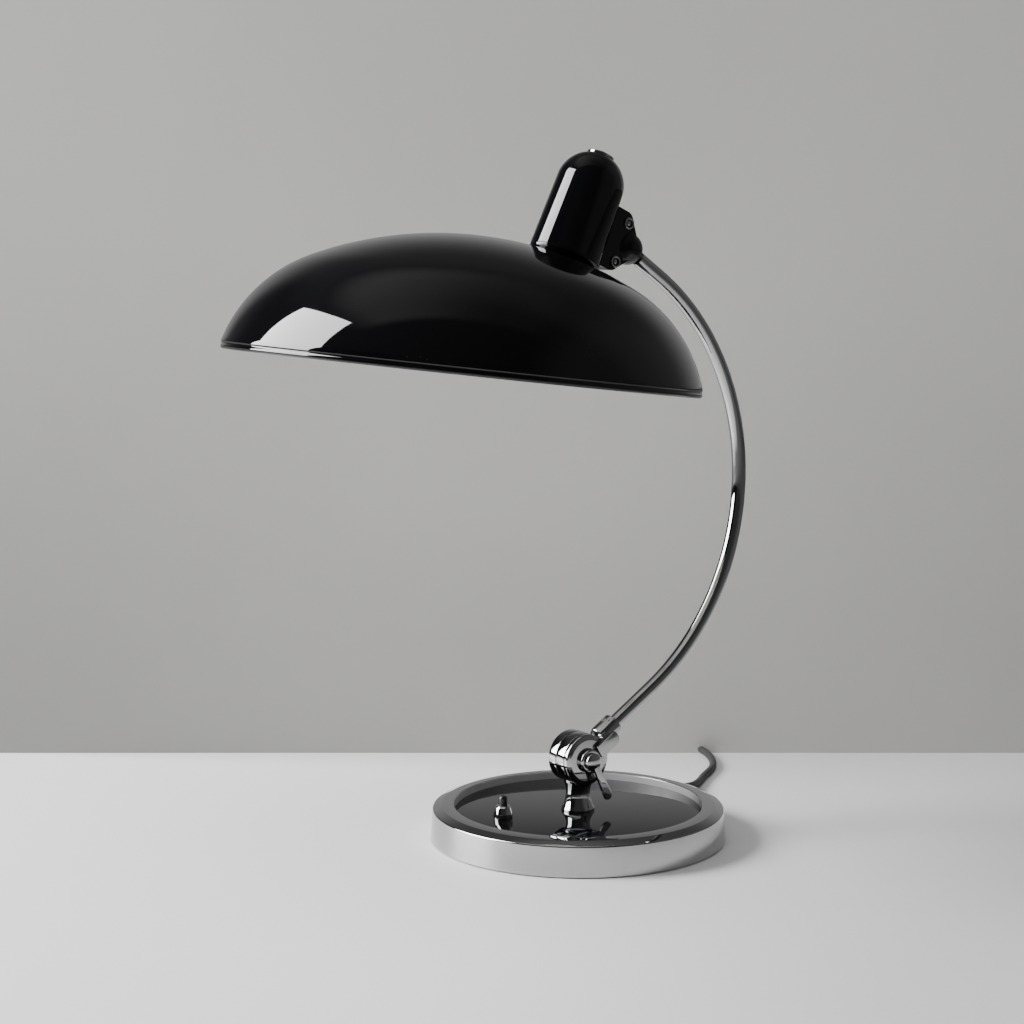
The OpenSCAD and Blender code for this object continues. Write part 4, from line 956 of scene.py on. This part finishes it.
skin = lathe(outside[:-1], SHADE_SIDES, closed=False)
inner_skin = lathe(outside[-2:] + inside, SHADE_SIDES, closed=False)
for face in inner_skin.faces:
    face.material_index = 1
dome_mesh = joined(skin, inner_skin)
bmesh.ops.remove_doubles(dome_mesh, verts=dome_mesh.verts, dist=WELD)
shade = show("shade", dome_mesh, SHADE, "head", black_enamel, ["shade"], sharp=60)
shade.data.materials.append(white_enamel)

# %% [markdown]
# ## Holder
# The holder's threaded end comes through the shade and takes a ring that clamps it. The ring
# has 36 grips round it, which is why its wall is built from an outline and isn't turned.

# %% Holder
thread = [(14.6, -9.0), (15.6, -9.0)]
for k in range(5):
    z = -8.6 + 1.9 * k
    thread += [(15.6, z), (16.2, z + 0.5), (16.2, z + 0.9), (15.6, z + 1.4)]
holder = thread + [
    (16.2, 1), (16.2, 7.7), (18, 7.7), (18, 42.3), (12, 45.3), (3.4, 45.3), (3.4, 26), (14.6, 26),
]
show("lamp holder", lathe(holder, 80), HEAD, "head", holder_plastic, ["lamp_holder"])

# %% Shade ring
GRIPS = 36
GRIP = ((0, 20.2), (1.5, 21.0), (5.0, 21.0), (6.5, 20.2))  # degrees and radius
ring_body = lathe(rounded([
    (16.25, -7.1), (19.9, -7.1, 0.3), (20.1, -4.7), (19.0, -4.6, 0.2), (19.0, -2.1, 0.2), (16.25, -2.1),
], steps=3), 80)
ring_wall = bmesh.new()
outline = [turned(r, 0, 360 / GRIPS * k + at) for k in range(GRIPS) for at, r in GRIP]
low, high, inner_low, inner_high = (
    [ring_wall.verts.new((x * share, y * share, z)) for x, y in outline]
    for share, z in ((1, -7.0), (1, -4.8), (0.93, -7.1), (0.93, -4.7))
)
for k in range(len(outline)):
    j = (k + 1) % len(outline)
    for a, b in ((inner_low, low), (low, high), (high, inner_high)):
        ring_wall.faces.new((a[k], a[j], b[j], b[k]))
grip_ring = joined(ring_body, ring_wall)
show("shade ring", grip_ring, HEAD, "head", holder_plastic, ["shade_ring"])

# %% [markdown]
# ## Bulb
# In the holder sits a plain brass shell. The bulb has a screw cap of nickel with six turns of
# round thread, and an opal globe with a slim neck.

# %% Shell and bulb
shell = [(14.0, -6), (14.5, -6), (14.5, 20), (14.0, 20)]
show("holder shell", lathe(shell, 64), HEAD, "head", brass, ["holder_shell"])
cap_thread = [(12.4, -7.0), (12.9, -6.9)]
for k in range(6):
    z = -6.2 + 3.6 * k
    cap_thread += [(12.5, z), (12.7, z + 0.6), (13.0, z + 1.4)]
    cap_thread += [(13.0, z + 2.0), (12.7, z + 2.8), (12.5, z + 3.4)]
cap_thread += [(12.4, 16), (5, 21.5), (4.5, 21.5), (4.5, 23.1), (0, 23.1)]
show("bulb cap", lathe(cap_thread, 72, closed=False), HEAD, "head", nickel, ["bulb_cap"])
bulb_neck = [(14.2, -13.2), (12.9, -10.4), (12.3, -7.6), (12.2, -6)]
globe = [(0, -54.0)] + arc(0, -31.5, 22.5, -90, 46, 44)[1:] + bulb_neck
show("bulb glass", lathe(globe, 96, closed=False), HEAD, "head", opal_glass, ["bulb_glass"])

# %% [markdown]
# ## Studio
# A pale table and a pale wall close behind the lamp. Both are seen from their front only: a
# shader mixes in a transparent one on the back, so views from behind and below stay open. The
# paint is a little darker in places, which stands for the falling light of a real room.

# %% Table and wall
BACK_DARK = 0.2


def plain(name, colour, shine, shade_at):
    """Paint seen from its front only; shade_at gives how dark it is at a place."""
    p = Paint(name)
    at = p.place()
    p.bump(p.noise(at, 0.8, 3.0) * 0.01)
    cloud = p.noise(at, 90.0, 2.0).between(0.3, 0.7)
    x, y, z = p.parts(at)
    away = (x * x + y * y).maths("SQRT")
    darkness = shade_at(seen_right(x, y), z, away) + cloud * 0.015
    dark = tuple(c * BACK_DARK for c in colour)
    p.set(Base_Color=p.mix(darkness, colour, dark), Roughness=cloud * 0.04 + shine)
    behind = p.node("ShaderNodeNewGeometry", "Backfacing")
    clear = p.node("ShaderNodeBsdfTransparent", 0)
    paint = Wire(p.tree, p.shader.outputs[0])
    one_sided = p.node("ShaderNodeMixShader", 0, None, {0: behind, 1: paint, 2: clear})
    join(p.tree, one_sided, p.tree.nodes["Material Output"].inputs["Surface"])
    return p.material


def table_shade(right, height, away):
    return right.between(-120.0, 200.0) * 0.32 + away.between(420.0, 800.0)


def wall_shade(right, height, away):
    low = height.between(500.0, -60.0)
    return low * 0.42 + right.between(100.0, -450.0) * (low * 0.2 + 0.2)


def sheet_of(name, corners, material):
    bm = bmesh.new()
    bm.faces.new([bm.verts.new(c) for c in corners])
    mesh = bpy.data.meshes.new(name)
    bm.to_mesh(mesh)
    bm.free()
    mesh.materials.append(material)
    made = bpy.data.objects.new(name, mesh)
    bpy.context.scene.collection.objects.link(made)
    return made


TABLE_HALF, WALL_AWAY = 4, 217
table_paint = plain("table", (0.79, 0.785, 0.79), 0.55, table_shade)
wall_paint = plain("wall", (0.76, 0.754, 0.73), 0.8, wall_shade)
table_corners = [(x * TABLE_HALF, y * TABLE_HALF, 0) for x, y in ((-1, -1), (1, -1), (1, 1), (-1, 1))]
sheet_of("table", table_corners, table_paint)
wall_corners = [(-417, 0), (334, 0), (334, 900), (-417, 900)]
wall = sheet_of("wall", [from_view(x, WALL_AWAY, z) / 1000 for x, z in wall_corners], wall_paint)
wall.visible_glossy = False
print("table", 2 * TABLE_HALF, "m wide, wall", WALL_AWAY, "mm behind the foot")

# %% [markdown]
# ## Lights
# A mirror-like lamp shows its lights as shapes, so what is mirrored and what lights surfaces
# are set apart: the window only shows in the gloss, while the side light and the fill only
# light surfaces. Each can then be moved without spoiling the other.


# %% Lights
def soft_light(name, at, aim, width, height, power, mirrored):
    """A light panel that is either mirrored in gloss or lights surfaces, not both."""
    data = bpy.data.lights.new(name, "AREA")
    data.shape = "RECTANGLE"
    data.size, data.size_y, data.energy = width, height, power
    lamp = bpy.data.objects.new(name, data)
    bpy.context.scene.collection.objects.link(lamp)
    lamp.location = at
    lamp.rotation_euler = (Vector(aim) - Vector(at)).to_track_quat("-Z", "Y").to_euler()
    lamp.visible_glossy = mirrored
    lamp.visible_diffuse = not mirrored
    print("light:", name, "at", [round(v, 2) for v in at])


FOOT = (0, 0, 0.1)
window_at, window_aim = from_view(-1333, 60, 975) / 1000, from_view(-408, 441, 975) / 1000
soft_light("window", window_at, window_aim, 1.04, 1.55, 118, mirrored=True)
soft_light("side light", from_view(-2600, 0, 1600) / 1000, FOOT, 1.2, 1.2, 240, mirrored=False)
soft_light("fill", from_view(0, -700, 2600) / 1000, FOOT, 2.2, 2.2, 36, mirrored=False)

# %% [markdown]
# ## Sky
# The rest of the room is a dim glow that the enamel and the chrome mirror. It is a sum of soft
# masks on the direction: a faint even part, a wall on the right, a low band beyond the lamp, a
# patch of ceiling, and a corner that is darker than the rest.

# %% Sky
world = bpy.data.worlds.new("studio")
bpy.context.scene.world = world
world.use_nodes = True
tree = world.node_tree
direction = Wire(tree, None).node("ShaderNodeTexCoord", "Generated")


def facing(way):
    """How far the sky's direction points along another, from -1 to 1."""
    sockets = {0: direction, 1: way}
    return direction.node("ShaderNodeVectorMath", "Value", {"operation": "DOT_PRODUCT"}, sockets)


up = facing((0, 0, 1))
far = facing(from_view(0, 1, 0))
right = facing(from_view(1, 0, 0))
even = far.between(-0.1, 0.2) * 0.045 + right.between(0.5, 0.8) * 0.08 + 0.055
low_band = far.between(0.6, 0.9) * up.between(0.64, 0.2) * 0.27
ceiling = up.between(0.76, 0.9) * far.between(-0.33, -0.22) * (right.between(0.3, -0.4) * 0.3 + 0.05)
corner = right.between(-0.35, -0.55) * up.between(0.75, 0.5)
glow = (even + low_band + ceiling) * (1.0 - corner * 0.7)
join(tree, glow, tree.nodes["Background"].inputs["Strength"])
tree.nodes["Background"].inputs["Color"].default_value = (1, 1, 1, 1)
print("sky of", len(tree.nodes), "nodes")
